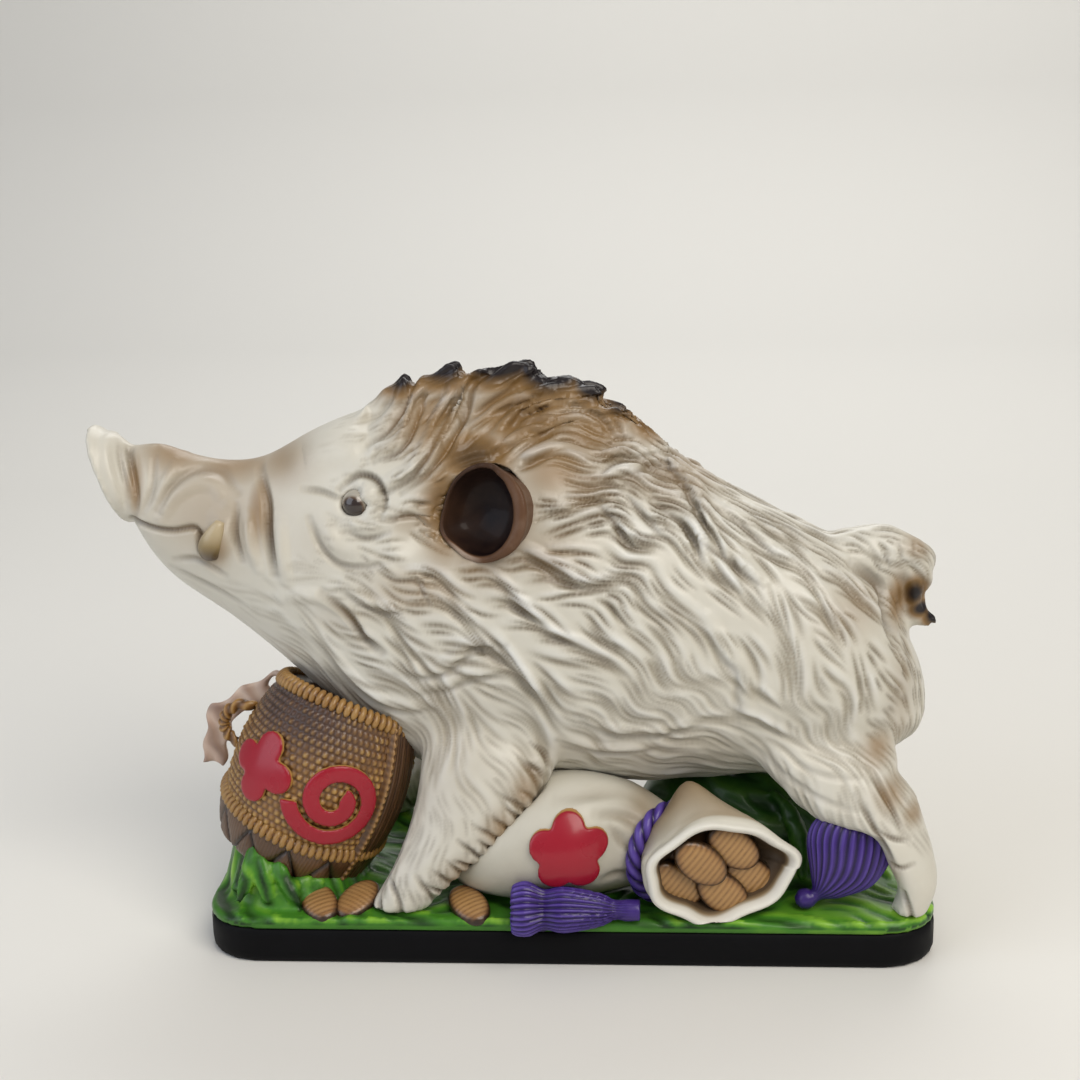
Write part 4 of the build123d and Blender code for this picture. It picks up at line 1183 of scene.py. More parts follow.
@dataclass
class Ear:
    """One deep cupped ear: its rim stands out behind and below, and runs into the cheek in front."""

    side: Side
    x: float = -24.0
    height: float = 129.8
    flank: float = 28.8
    turn: float = 20.8
    rise: float = 9.2
    half_width: float = 12.8
    half_height: float = 13.6
    wall: float = 2.2
    root: float = -11.0
    floor: float = -9.0
    funnel: float = 12.0
    stand: float = 2.8
    stand_behind: float = 2.4
    stand_below: float = 0.7
    front_corner: float = 205.0
    tuck: float = 0.9
    bed: float = 2.0
    deepest: float = 14.0
    farthest: float = 2.2
    count: int = 120

    def axes(self) -> np.ndarray:
        """Rows of the ear's own frame: backward, upward and outward."""
        turn, rise = math.radians(self.turn), math.radians(self.rise)
        rows = np.array([
            (math.cos(turn), -math.sin(turn), 0.0),
            (math.sin(rise) * math.sin(turn), math.sin(rise) * math.cos(turn), math.cos(rise)),
            (-math.sin(turn) * math.cos(rise), -math.cos(turn) * math.cos(rise), math.sin(rise)),
        ])
        return rows * (1, -self.side.value, 1)

    def centre(self) -> np.ndarray:
        """The middle of the ear on the flank."""
        return np.array([self.x, self.side.value * self.flank, self.height + GROUND_TOP])

    def proud(self, angle: np.ndarray) -> np.ndarray:
        """How far the rim stands out of the flank at an angle about the ear."""
        return self.stand + self.stand_behind * np.cos(angle) - self.stand_below * np.sin(angle)

    def point(self, angle: np.ndarray) -> np.ndarray:
        """Share by which the opening is drawn out into its front corner and its top."""
        corner = 0.16 * bell(angle, np.radians(self.front_corner), 0.35)
        return 1 + corner + 0.05 * bell(angle, np.radians(80), 0.4)

    def sink(self, clay: Clay) -> None:
        """Presses the hide down under the cup, and lets it run down to the rim around it.

        Args:
            clay: the hide.
        """
        back, up, out = ((clay.points - self.centre()) @ self.axes().T).T
        away = np.hypot(back / self.half_width, up / self.half_height)
        angle = np.arctan2(up / self.half_height, back / self.half_width) % (2 * math.pi)
        away = away / self.point(angle)
        under = smoothstep(1.0, 1.1, away)
        rim = self.proud(angle) - self.tuck + self.funnel * np.clip(away - 1.1, 0, None)
        limit = (self.floor - self.bed) * (1 - under) + rim * under
        depth = np.clip(out - limit, 0, None) * (out > -self.deepest) * (away < self.farthest)
        clay.points -= depth[:, None] * self.axes()[2]

    def build(self) -> None:
        """Skins the cup from its root over the rim to its floor, and paints it."""
        angle = around(self.count)
        cos, sin = np.cos(angle), np.sin(angle)
        point = self.point(angle)
        proud = self.proud(angle) + 0.5 * bell(angle, np.radians(75), 0.6) * np.sin(13 * angle)
        thick = self.wall * (0.75 + 0.35 * cos - 0.1 * sin + 0.75 * bell(np.cos(angle), 1.0, 0.35))
        inner_w, inner_h = self.half_width * point, self.half_height * point
        profile = (
            (0.80, 1.0, 0.0, self.root), (0.92, 1.0, 0.1, 0.0), (1.0, 1.0, 0.6, 0.0), (1.0, 1.0, 1.0, 0.0),
            (1.0, 0.45, 1.12, 0.0), (1.0, 0.0, 0.95, 0.0), (0.98, 0.0, 0.45, 0.0), (0.93, 0.0, 0.0, -2.0),
            (0.74, 0.0, 0.0, 0.66 * self.floor), (0.42, 0.0, 0.0, 0.92 * self.floor),
            (0.08, 0.0, 0.0, self.floor),
        )
        knots = np.stack([
            np.stack([
                (inner_w * share + thick * wall) * cos, (inner_h * share + thick * wall) * sin,
                proud * lift + level,
            ], 1)
            for share, wall, lift, level in profile
        ])
        rows = spline(knots, [5] * (len(profile) - 1))
        clay = Clay.from_grid(rows @ self.axes() + self.centre())
        step = np.repeat(np.linspace(0, 1, len(rows)), self.count)
        turned = np.tile(angle, len(rows))
        inside = smoothstep(0.44, 0.6, step)
        rim = 0.2 + 0.6 * bell(turned, np.radians(248), 0.65) + 0.32 * bell(np.cos(turned), 1.0, 0.5)
        red = 0.16 * bell(turned, np.radians(190), 0.8) * smoothstep(0.95, 0.6, step)
        tone = rim * (1 - inside) + inside * (0.04 + red)
        clay.coat(Paint.TONE, tone, (0.5, 0.04))
        name = self.side.name.lower()
        place_piece(clay.to_object(f"{name}_ear_cup", EAR), "ear_brown", f"{name}_ear")


@dataclass
class Eye:
    """A small glazed eye that looks forward and down from under its lid."""

    side: Side
    voxel: float = 0.4
    pupil: float = 3.6

    def build(self) -> None:
        """Models the eye over its node and paints the pupil."""
        name = self.side.name.lower()
        clay = Clay.from_nodes((f"{name}_eye",), self.voxel, 3)
        low, high = clay.points.min(0), clay.points.max(0)
        gaze = (low + high) / 2 + np.array([-0.8, self.side.value * (high[1] - low[1]) / 2, -0.8])
        away = np.linalg.norm((clay.points - gaze) * (1, 0.5, 1), axis=1)
        clay.paint[Paint.TONE] = 0.04 + 0.96 * smoothstep(self.pupil * 0.8, self.pupil * 1.25, away)
        place_piece(clay.to_object(f"{name}_glazed_eye", EYE), "eye_brown", f"{name}_eye")


@dataclass
class Tusk:
    """A short blunt tusk in the corner of the mouth, brown at its root."""

    side: Side
    voxel: float = 0.4
    spread: tuple[float, float, float] = (1.3, 1.1, 1.18)

    def build(self) -> None:
        """Models the tusk over its node, with painted shade at its root and a painted highlight towards its
        tip.
        """
        name = self.side.name.lower()
        clay = Clay.from_nodes((f"{name}_tusk",), self.voxel, 4)
        low, high = clay.height.min(), clay.height.max()
        share = (clay.height - low) / (high - low)
        middle = clay.points.mean(0)
        clay.points = middle + (clay.points - middle) * self.spread
        # Lighter towards the tip as a painted highlight, brown at the root as painted shade
        clay.paint[Paint.TONE] = 0.25 + 0.7 * smoothstep(0.15, 0.8, share)
        clay.paint[Paint.WASH] = 0.8 * (1 - smoothstep(0.0, 0.35, share))
        place_piece(clay.to_object(f"{name}_short_tusk", IVORY), "tusk_ivory", f"{name}_tusk")


class RibsOnPath:
    """Node tree that lays slanted ribs side by side along a closed path, over a plain core."""

    def __init__(self) -> None:
        """Builds the tree with its named inputs."""
        tree = bpy.data.node_groups.new("ribs_on_path", "GeometryNodeTree")
        face = tree.interface
        face.new_socket("Geometry", in_out="INPUT", socket_type="NodeSocketGeometry")
        self.inputs = {
            name: face.new_socket(name, in_out="INPUT", socket_type=kind).identifier
            for name, kind in (
                ("Count", "NodeSocketInt"), ("Size", "NodeSocketVector"), ("Slant", "NodeSocketFloat"),
                ("Core", "NodeSocketFloat"), ("Finish", "NodeSocketMaterial"),
            )
        }
        face.new_socket("Geometry", in_out="OUTPUT", socket_type="NodeSocketGeometry")
        entry = add_node(tree, "NodeGroupInput").outputs
        along = add_node(tree, "GeometryNodeCurveToPoints",
                         {"Curve": entry["Geometry"], "Count": entry["Count"]})
        lean = add_node(tree, "ShaderNodeCombineXYZ", {"Y": entry["Slant"]}).outputs[0]
        turned = add_node(tree, "FunctionNodeRotateRotation",
                          {"Rotation": along.outputs["Rotation"], "Rotate By": lean}, rotation_space="LOCAL")
        rib = add_node(tree, "GeometryNodeMeshUVSphere",
                       {"Segments": 12, "Rings": 8, "Radius": 1.0}).outputs["Mesh"]
        ribs = add_node(tree, "GeometryNodeInstanceOnPoints", {
            "Points": along.outputs["Points"], "Instance": rib,
            "Rotation": turned.outputs[0], "Scale": entry["Size"],
        }).outputs["Instances"]
        ring = add_node(tree, "GeometryNodeCurvePrimitiveCircle", {"Resolution": 12, "Radius": entry["Core"]})
        core = add_node(tree, "GeometryNodeCurveToMesh",
                        {"Curve": entry["Geometry"], "Profile Curve": ring.outputs["Curve"]}).outputs["Mesh"]
        both = add_node(tree, "GeometryNodeJoinGeometry").inputs["Geometry"]
        for part in (core, ribs):
            tree.links.new(part, both)
        real = add_node(tree, "GeometryNodeRealizeInstances", {"Geometry": both.node.outputs["Geometry"]})
        done = add_node(tree, "GeometryNodeSetMaterial",
                        {"Geometry": real.outputs["Geometry"], "Material": entry["Finish"]})
        add_node(tree, "NodeGroupOutput", {"Geometry": done.outputs["Geometry"]})
        self.tree = tree

    def lay(self, path: np.ndarray, count: int, size: tuple[float, float, float], slant: float, core: float,
            finish: Finish) -> Clay:
        """Lays ribs along a closed path.

        Args:
            path: points of the path in millimetres.
            count: how many ribs.
            size: half sizes of a rib, across, across and along the path.
            slant: how far each rib leans, in degrees.
            core: radius of the core under the ribs.
            finish: the paint.

        Returns:
            The ribbed ring, with a painted highlight on its ridges and painted shade in its grooves.
        """
        data = bpy.data.curves.new("path", "CURVE")
        data.dimensions = "3D"
        line = data.splines.new("POLY")
        line.points.add(len(path) - 1)
        line.points.foreach_set("co", np.hstack([path * MM, np.ones((len(path), 1))]).ravel())
        line.use_cyclic_u = True
        holder = linked("path", data)
        modifier = holder.modifiers.new("ribs", "NODES")
        modifier.node_group = self.tree
        values = (count, tuple(s * MM for s in size), math.radians(slant), core * MM, material_of(finish))
        for name, value in zip(("Count", "Size", "Slant", "Core", "Finish"), values):
            modifier[self.inputs[name]] = value
        clay = Clay(evaluated(holder))
        away = np.sqrt(((clay.points[:, None] - path[None]) ** 2).sum(2).min(1))
        # Ribs lighter away from the core as a painted highlight, darker near it as painted shade
        clay.paint[Paint.TONE] = 0.15 + 0.75 * smoothstep(0.75 * core, 1.5 * core, away)
        return clay


@dataclass
class Keg:
    """The straw keg under the boar's chin: woven body, ribbed rims, leaves, lid, side panel and ornaments."""

    ribs: RibsOnPath
    middle: tuple[float, float, float] = (-83.5, -13.0, 52.66)
    tilt: float = 24.0
    half: float = 18.0
    belly: float = 29.3
    rim: float = 27.3
    top: float = 27.0
    lean: float = 6.5
    swell: float = 1.25
    lift: float = 4.5
    top_radius: float = 23.6
    skirt: float = 11.0
    skirt_radius: float = 25.0
    weave_around: int = 74
    weave_rows: int = 21
    fine: int = 6
    leaves: int = 12
    rib_pitch: float = 2.4
    rim_points: int = 160
    lower_rim: float = 3.2
    upper_rim: float = 0.6
    strap_from: float = -44.0
    strap_to: float = -10.0

    def world(self, local: np.ndarray) -> np.ndarray:
        """Tilts points of the upright keg to where it stands."""
        t = math.radians(self.tilt)
        x, y, z = np.moveaxis(local, -1, 0)
        tilted = np.stack([x * math.cos(t) + z * math.sin(t), y, z * math.cos(t) - x * math.sin(t)], -1)
        return tilted + self.middle

    def outward(self, points: np.ndarray) -> np.ndarray:
        """Directions away from the keg's axis."""
        t = math.radians(self.tilt)
        axis = np.array([math.sin(t), 0.0, math.cos(t)])
        arm = points - self.middle
        arm = arm - (arm @ axis)[:, None] * axis
        return arm / np.maximum(np.linalg.norm(arm, axis=1, keepdims=True), 1e-6)

    def radius(self, level: np.ndarray) -> np.ndarray:
        """Radius of the woven body at a level."""
        above = (self.belly - self.top_radius) / self.top**2
        below = (self.belly - self.rim) / self.half**2
        return self.belly - np.where(level > 0, above, below) * level**2

    def ceiling(self, angle: np.ndarray) -> np.ndarray:
        """Level of the top rim at an angle: it is higher in front."""
        return self.top - self.lean * np.sin(angle)

    def enlarged(self, points: np.ndarray) -> np.ndarray:
        """Spreads an ornament over the woven face, in its place.

        Args:
            points: the ornament's points.

        Returns:
            The points, each as far off the weave as it was.
        """
        t = math.radians(self.tilt)
        arm = points - self.middle
        x = arm[:, 0] * math.cos(t) - arm[:, 2] * math.sin(t)
        level = arm[:, 0] * math.sin(t) + arm[:, 2] * math.cos(t)
        angle = np.arctan2(arm[:, 1], x)
        proud = np.hypot(x, arm[:, 1]) - self.radius(level)
        angle = angle.mean() + self.swell * (angle - angle.mean())
        level = level.mean() + self.swell * (level - level.mean()) + self.lift
        return self.turned(angle, self.radius(level) + proud, level)

    def turned(self, angle: np.ndarray, radius: np.ndarray, level: np.ndarray) -> np.ndarray:
        """Points at angles, radii and levels of the standing keg."""
        upright = np.broadcast_arrays(radius * np.cos(angle), radius * np.sin(angle), level)
        return self.world(np.stack(upright, -1))

    def build(self) -> None:
        """Builds and dresses every piece of the keg."""
        rng = np.random.default_rng(SEED + 1)
        self.body(rng)
        self.leaf_skirt(rng)
        self.lid(rng)
        self.rope("lower", np.full(self.rim_points, self.lower_rim - self.half))
        self.rope("upper", self.ceiling(around(self.rim_points)) - self.upper_rim)
        self.strap()
        self.loop()
        for name in ("scroll", "blossom"):
            clay = Clay.from_nodes((f"keg_{name}",), 0.45, 6)
            emboss(clay, self.outward(clay.points))
            clay.points = self.enlarged(clay.points)
            place_piece(clay.to_object(f"keg_painted_{name}", RED), "ornament_red", f"keg_{name}")

    def body(self, rng: np.random.Generator) -> None:
        """Weaves the body: staggered knobs in rows, lighter on the knobs as a painted highlight, and darker
        towards the top and on the left.

        Args:
            rng: the source of chance.
        """
        count, rows = self.weave_around * self.fine, self.weave_rows * self.fine
        angle = around(count)[None]
        share = np.linspace(0, 1, rows + 1)[:, None]
        level = share * (self.ceiling(angle) + self.half) - self.half
        row = np.minimum((share * self.weave_rows).astype(int), self.weave_rows - 1)
        across = angle * self.weave_around / (2 * np.pi) + 0.5 * (row % 2)
        lot = rng.uniform(0.55, 1.15, (self.weave_rows, self.weave_around))
        size = lot[row, np.floor(across).astype(int) % self.weave_around]
        wide, tall = np.sin(np.pi * across), np.sin(np.pi * share * self.weave_rows)
        knob = np.abs(wide) ** 0.8 * np.abs(tall) ** 0.7 * size
        clay = Clay.from_grid(self.turned(angle, self.radius(level) - 0.35 + 0.85 * knob, level))
        # Darker towards the top and on the left
        left = bell(np.cos(angle - np.radians(200)), 1.0, 0.9)
        smoke = 0.3 * smoothstep(8.0, 26.0, level) + 0.35 * left * smoothstep(-8, 20, level)
        # Knobs lighter as a painted highlight, gaps darker as painted shade
        clay.coat(Paint.TONE, 0.28 + 0.56 * knob, (0.4, 0.4))
        clay.coat(Paint.SMOKE, smoke * (1 - 0.4 * knob))
        place_piece(clay.to_object("keg_woven_body", STRAW), "straw_gold", "keg_body")

    def leaf_skirt(self, rng: np.random.Generator) -> None:
        """Wraps the lower end with flat folded leaves whose edges make a zigzag.

        Args:
            rng: the source of chance.
        """
        rim, end = self.rim, self.skirt_radius
        profile = (
            (rim + 0.1, -3.2), (rim + 1.0, -2.0), (rim + 0.6, 2.0), (rim - 0.8, 7.0),
            (end + 0.3, 10.2), (end - 1.8, self.skirt), (14.0, 9.6), (3.0, 9.2),
        )
        rows = spline(np.array(profile), [4, 8, 12, 4, 3, 4, 3])
        angle = around(420)[None]
        radius, depth = rows[:, :1], rows[:, 1:]
        share = np.clip(depth / self.skirt, 0, 1)
        width = 2 * np.pi / self.leaves
        cut = np.full(np.broadcast_shapes(angle.shape, share.shape), 99.0)
        for i in range(2 * self.leaves):
            lean = 0.42 if i % 2 else -0.42
            edge = (i // 2) * width + (i % 2) * 0.1 * width + lean * width * (share - 0.1)
            gap = np.abs((angle - edge + np.pi) % (2 * np.pi) - np.pi) * radius
            cut = np.minimum(cut, gap)
        outer = smoothstep(14.0, 20.0, radius)
        groove = bell(cut, 0.0, 0.55) * outer
        pillow = smoothstep(0.0, 3.0, cut) * outer
        streak = 0.12 * np.sin(angle * 150 + 6 * share) * outer
        grid = self.turned(angle, radius - 0.9 * groove + 0.45 * pillow + streak, -self.half - depth)
        clay = Clay.from_grid(grid)
        patch = rng.uniform(0.16, 0.4, self.leaves)[np.floor(angle / width).astype(int) % self.leaves]
        # Each leaf its own tone; lighter on the pillows and raised streaks as a painted highlight, darker in
        # the folds as painted shade
        tone = patch + 0.15 * pillow - 0.2 * groove + 0.6 * streak
        clay.coat(Paint.TONE, tone, (0.3, 0.3))
        clay.coat(Paint.WASH, groove)
        place_piece(clay.to_object("keg_lower_leaves", DARK_STRAW), "straw_dark", "keg_lower_skirt")

    def lid(self, rng: np.random.Generator) -> None:
        """Closes the top with straw gathered to the middle.

        Args:
            rng: the source of chance.
        """
        angle = around(360)[None]
        share = np.linspace(0, 1, 14)[:, None]
        rim = self.ceiling(angle)
        radius = self.radius(rim) * (1 - 0.94 * share)
        level = self.top + (rim - self.top) * (1 - share) - 1.2 + 2.4 * np.sin(1.3 * share)
        straw = np.sin(48 * angle + 2.0 * share + rng.uniform(0, 6)) * (1 - share)
        clay = Clay.from_grid(self.turned(angle, radius, level + 0.35 * straw))
        # Lighter on the straw's ridges as a painted highlight
        clay.coat(Paint.TONE, 0.4 + 0.2 * straw, (0.4, 0.4))
        place_piece(clay.to_object("keg_gathered_lid", DARK_STRAW), "straw_dark", "keg_upper_skirt")

    def rope(self, end: str, level: np.ndarray) -> None:
        """Binds an end with a rim of short flat ribs.

        Args:
            end: which end.
            level: where the rim runs, all the way around.
        """
        radius = self.radius(level) + 0.1
        path = self.turned(around(len(level)), radius, level)
        count = round(2 * math.pi * float(radius.mean()) / self.rib_pitch)
        clay = self.ribs.lay(path, count, (1.6, 2.9, 0.56 * self.rib_pitch), 0.0, 1.0, STRAW)
        clay.paint[Paint.TONE] *= 0.72
        place_piece(clay.to_object(f"keg_{end}_rib_rim", STRAW), "straw_gold", f"keg_{end}_rope")

    def strap(self) -> None:
        """Lays the smooth side panel with its ribbed gold edge."""
        angle = np.radians(np.linspace(self.strap_from, self.strap_to, 70))
        degrees = np.degrees(angle)
        foot = -self.half - 9.5
        level = foot + np.linspace(0, 1, 150)[:, None] * (self.ceiling(angle)[None] - 0.5 - foot)
        past = np.clip(-level - self.half, 0, self.skirt) / self.skirt
        under = self.radius(np.maximum(level, -self.half)) - past * (self.rim - self.skirt_radius)
        edge = bell(degrees, self.strap_from + 3.2, 2.6)[None]
        rib = 0.5 + 0.5 * np.sin(level * 2 * np.pi / 2.3 + 8 * angle[None])
        streak = 0.14 * np.sin(degrees * 2.1)[None] + 0.1 * np.sin(degrees * 0.9 + level / 9)
        close = np.minimum(smoothstep(0, 2, degrees - self.strap_from),
                           smoothstep(0, 2, self.strap_to - degrees))[None]
        face = under + close * (1.15 + streak + edge * (0.5 + 0.6 * rib))
        inner = np.broadcast_to(under - 1.2, face.shape)
        outside = self.turned(angle[None], face, level)
        inside = self.turned(angle[::-1][None], inner, level)
        clay = Clay.from_grid(np.concatenate([outside, inside], 1))
        # Raised streaks and the ribs of the gold edge lighter as a painted highlight
        tone = 0.34 + 0.9 * streak + edge * (0.35 + 0.4 * rib)
        clay.coat(Paint.TONE, np.concatenate([tone, np.zeros_like(tone)], 1), (0.3, 0.3))
        place_piece(clay.to_object("keg_side_panel", DARK_STRAW), "straw_dark", "keg_strap")

    def loop(self) -> None:
        """Twists the small carrying loop."""
        clay = Clay.from_nodes(("keg_loop",), 0.5, 2)
        low, high = clay.points.min(0), clay.points.max(0)
        arm = clay.points - (low + high) / 2
        angle = np.arctan2(arm[:, 2], arm[:, 0] + 2.0)
        lay = np.sin(11 * angle + 1.1 * arm[:, 1])
        clay.raise_by(0.4 * lay)
        # Lighter on the ridges of the twist as a painted highlight
        clay.paint[Paint.TONE] = 0.42 + 0.28 * lay
        place_piece(clay.to_object("keg_twisted_loop", STRAW), "straw_gold", "keg_loop")


def emboss(clay: Clay, outward: np.ndarray) -> None:
    """Rounds an ornament and paints its face over a gold edge.

    Args:
        clay: the ornament.
        outward: direction that its face looks in, at each point or for all.
    """
    flat = smoothstep(0.3, 0.8, (clay.normals() * outward).sum(1))
    clay.paint[Paint.TONE] = 0.06 + 0.66 * flat
    clay.raise_by(0.25 * flat)


@dataclass
class Streamer:
    """The folded paper strip behind the keg."""

    def build(self) -> None:
        """Models the strip over its node, with soft folds along it."""
        clay = Clay.from_nodes(("paper_streamer",), 0.55, 3)
        place = clay.points
        fold = np.sin(place[:, 0] * 0.9 + place[:, 2] * 0.35)
        clay.points[:, 1] += 0.45 * fold
        clay.points[:, 0] += 0.7 * np.sin(0.62 * place[:, 2])
        clay.points[:, 2] += 0.7 * np.sin(0.55 * place[:, 0]) - 7.0 * smoothstep(-101.0, -88.0, place[:, 0])
        # Fold crests lighter as a painted highlight, with a lighter band and a darker line along the strip
        clay.paint[Paint.TONE] = 0.5 + 0.22 * fold + 0.25 * bell(clay.height, 60.0, 4.0)
        clay.paint[Paint.WASH] = 0.5 * bell(clay.height, 55.5, 2.0)
        place_piece(clay.to_object("folded_paper_strip", PAPER), "streamer_pink", "paper_streamer")


# Folds that run to the sack's neck
SACK_FOLDS = tuple(Tool(*row) for row in (
    (((29, 30), (20, 36), (8, 38), (-3, 37)), 2.6, -1.5, 0.35),
    (((27, 25), (19, 30), (10, 33)), 2.2, -1.2, 0.4),
    (((28, 33), (21, 39), (12, 42)), 3.2, 1.3),
    (((25, 18), (19, 22), (15, 28)), 2.0, -1.0, 0.45),
    (((24, 10), (17, 12), (12, 11)), 2.4, -1.1, 0.4),
    (((26, 21), (21, 25), (14, 30)), 2.2, 0.9),
))
# Brown spray in the sack's folds, and painted shade under it
SACK_SHADE = tuple(Spray(*row) for row in (
    (25, 30, 8, 9, 0.34), (14, 4, 16, 4, 0.32), (-14, 10, 8, 8, 0.2), (18, 14, 5, 10, 0.12),
))


@dataclass
class Sack:
    """The tied cloth sack with its blossom, rope and spread mouth full of coins."""

    neck: tuple[float, float, float] = (32.0, -30.0, 16.0)
    neck_turn: float = 45.0
    neck_radius: float = 12.4
    tie_radius: float = 14.6
    rope_turns: int = 18
    mouth: tuple[float, float, float] = (49.6, -47.4, 16.6)
    mouth_turn: float = 12.0
    half_width: float = 23.5
    half_height: float = 16.4
    peak: float = 12.0
    coin_shifts: tuple[tuple[float, float], ...] = (
        (-0.5, -2.0), (5.0, -2.0), (4.0, -3.0), (1.5, 2.5), (0.8, 0.6),
    )
    coin_spread: float = 1.34
    count: int = 220

    # Rings of the collar at which the outer cloth ends, the lip starts and ends, and the inside begins
    CLOTH = 18
    LIP = (21, 25, 31, 34)
    INSIDE = (31, 36)

    def build(self) -> None:
        """Builds and dresses every piece of the sack."""
        self.bag()
        self.collar()
        self.tie()
        clay = Clay.from_nodes(("sack_blossom",), 0.45, 6)
        emboss(clay, np.array([0.0, -1.0, 0.0]))
        place_piece(clay.to_object("sack_painted_blossom", RED), "ornament_red", "sack_blossom")
        bed = Clay.from_nodes(("coin_bed",), 0.8, 3)
        # A darker bed between the coins, as painted shade
        bed.paint[Paint.TONE] -= 0.32
        place_piece(bed.to_object("coin_heap_bed", BRONZE), "coin_bronze", "coin_bed")
        turn = math.radians(self.mouth_turn)
        for i, (ahead, up) in enumerate(self.coin_shifts, 1):
            shift = (ahead * math.cos(turn), ahead * math.sin(turn), up)
            Coin(f"sack_coin_{i}", self.coin_spread, shift=shift).build()

    def bag(self) -> None:
        """Folds the bag towards its neck, shades it with a brown spray and painted shade under it, and paints
        it lighter towards the top as painted light.
        """
        clay = Clay.from_nodes(("sack_body",), 0.95, 5)
        normals = clay.normals()
        for tool in SACK_FOLDS:
            clay.stroke(tool, normals)
        clay.spray(SACK_SHADE)
        # Lighter towards the top as painted light
        clay.paint[Paint.TONE] += 0.2 * smoothstep(15, 45, clay.height) - 0.1
        place_piece(clay.to_object("sack_bag", CANVAS), "sack_white", "sack_body")

    def ring(self, share: float, wide: float, tall: float, ahead: float) -> np.ndarray:
        """One ring of the collar.

        Args:
            share: place from the neck, 0, to the mouth, 1.
            wide: half width.
            tall: half height.
            ahead: how far in front of that place.

        Returns:
            The ring's points.
        """
        angle = around(self.count)
        turn = math.radians(self.neck_turn + (self.mouth_turn - self.neck_turn) * share)
        middle = np.array(self.neck) + (np.array(self.mouth) - np.array(self.neck)) * share
        level = np.array([math.cos(turn), math.sin(turn), 0.0])
        front = np.array([math.sin(turn), -math.cos(turn), 0.0])
        start = middle + (0, 0, GROUND_TOP) + front * ahead
        return start + np.outer(wide * np.cos(angle), level) + np.outer(tall * np.sin(angle), (0, 0, 1))

    def collar(self) -> None:
        """Spreads the cloth from the tie to a thick wavy lip, with a fold that stands up behind it."""
        angle = around(self.count)
        wave = 1 + 0.06 * bell(angle, np.radians(12), 0.3) + 0.1 * bell(angle, np.radians(262), 0.28)
        wave += 0.05 * bell(angle, np.radians(97), 0.3) - 0.05 * bell(angle, np.radians(55), 0.4)
        wave += 0.026 * np.sin(7 * angle + 0.8) - 0.04 * bell(angle, np.radians(305), 0.4)
        w, h, n = self.half_width * wave, self.half_height * wave, self.neck_radius
        knots = np.stack([
            self.ring(-0.12, n - 1.2, n, 0.0), self.ring(0.05, n, n + 0.6, 0.0),
            self.ring(0.3, 15.5, 13.6, 0.0), self.ring(0.62, w * 0.86, h * 0.9, 0.0),
            self.ring(1.0, w + 0.4, h + 0.2, -1.6), self.ring(1.0, w + 0.9, h + 0.7, 0.4),
            self.ring(1.0, w - 0.1, h - 0.1, 1.9), self.ring(1.0, w - 1.5, h - 1.5, 1.6),
            self.ring(1.0, w - 2.6, h - 2.5, -0.2), self.ring(1.0, w * 0.8, h * 0.74, -5.0),
            self.ring(0.75, w * 0.66, h * 0.6, -3.0), self.ring(0.6, w * 0.4, h * 0.36, -2.0),
        ])
        fold = bell(angle, np.radians(78), 0.62)
        for row, lift in ((1, 0.25), (2, 1.0), (3, 0.72), (4, 0.2)):
            knots[row, :, 2] += self.peak * lift * fold
        grid = spline(knots, [3, 5, 6, 6, 3, 3, 3, 3, 5, 5, 3])
        pleats = 0.5 * np.sin(9 * angle + 0.6)[None, :, None] * np.array([0, 0, 1.0])
        grid[:self.CLOTH] += pleats
        grid[..., 2] = np.maximum(grid[..., 2], GROUND_TOP + 0.15)
        clay = Clay.from_grid(grid)
        step = np.repeat(np.arange(len(grid)), self.count)
        turned = np.tile(angle, len(grid))
        lip = smoothstep(*self.LIP[:2], step) * (1 - smoothstep(*self.LIP[2:], step))
        inside = smoothstep(*self.INSIDE, step)
        # The lip lighter as a painted highlight, the pleats shaded as painted shade
        tone = 0.42 + 0.5 * lip - 0.1 * np.sin(9 * turned + 0.6) * (step < self.CLOTH)
        # Painted shade over the back of the cloth and inside the mouth; darker near the tie
        behind = 0.38 * bell(turned, np.radians(80), 1.0) * (step < self.LIP[0])
        smoke = 0.95 * inside + 0.3 * (1 - smoothstep(3, self.CLOTH - 1, step)) + behind
        clay.coat(Paint.TONE, tone, (0.4, 0.2))
        clay.coat(Paint.SMOKE, smoke, (0.0, 0.4))
        place_piece(clay.to_object("sack_spread_mouth", CANVAS), "sack_white", "sack_collar")

    def tie(self) -> None:
        """Twists the three-strand rope round the neck."""
        path = self.ring(0.03, self.tie_radius, self.tie_radius, 0.0)
        path[:, 2] = np.maximum(path[:, 2], GROUND_TOP + 2.6)
        turn = math.radians(self.neck_turn + 0.03 * (self.mouth_turn - self.neck_turn))
        axis = np.array([math.sin(turn), -math.cos(turn), 0.0])
        ahead = np.roll(path, -1, 0) - np.roll(path, 1, 0)
        outward = np.cross(ahead, axis)
        outward /= np.linalg.norm(outward, axis=1, keepdims=True)
        phi = around(36)[None]
        strand = np.abs(np.cos(1.5 * phi - 0.5 * self.rope_turns * around(self.count)[:, None])) ** 0.7
        radius = (2.0 + 0.8 * strand)[..., None]
        arm = np.cos(phi)[..., None] * outward[:, None] + np.sin(phi)[..., None] * axis
        clay = Clay.from_grid(path[:, None] + radius * arm, closed=True)
        # Strands pale on their ridges as a painted highlight, dark between them as painted shade
        clay.paint[Paint.TONE] = 0.12 + 0.62 * strand.ravel()
        clay.paint[Paint.WASH] = 0.8 * (1 - smoothstep(0.2, 0.5, strand.ravel()))
        place_piece(clay.to_object("sack_rope_tie", PURPLE), "cord_purple", "sack_tie")


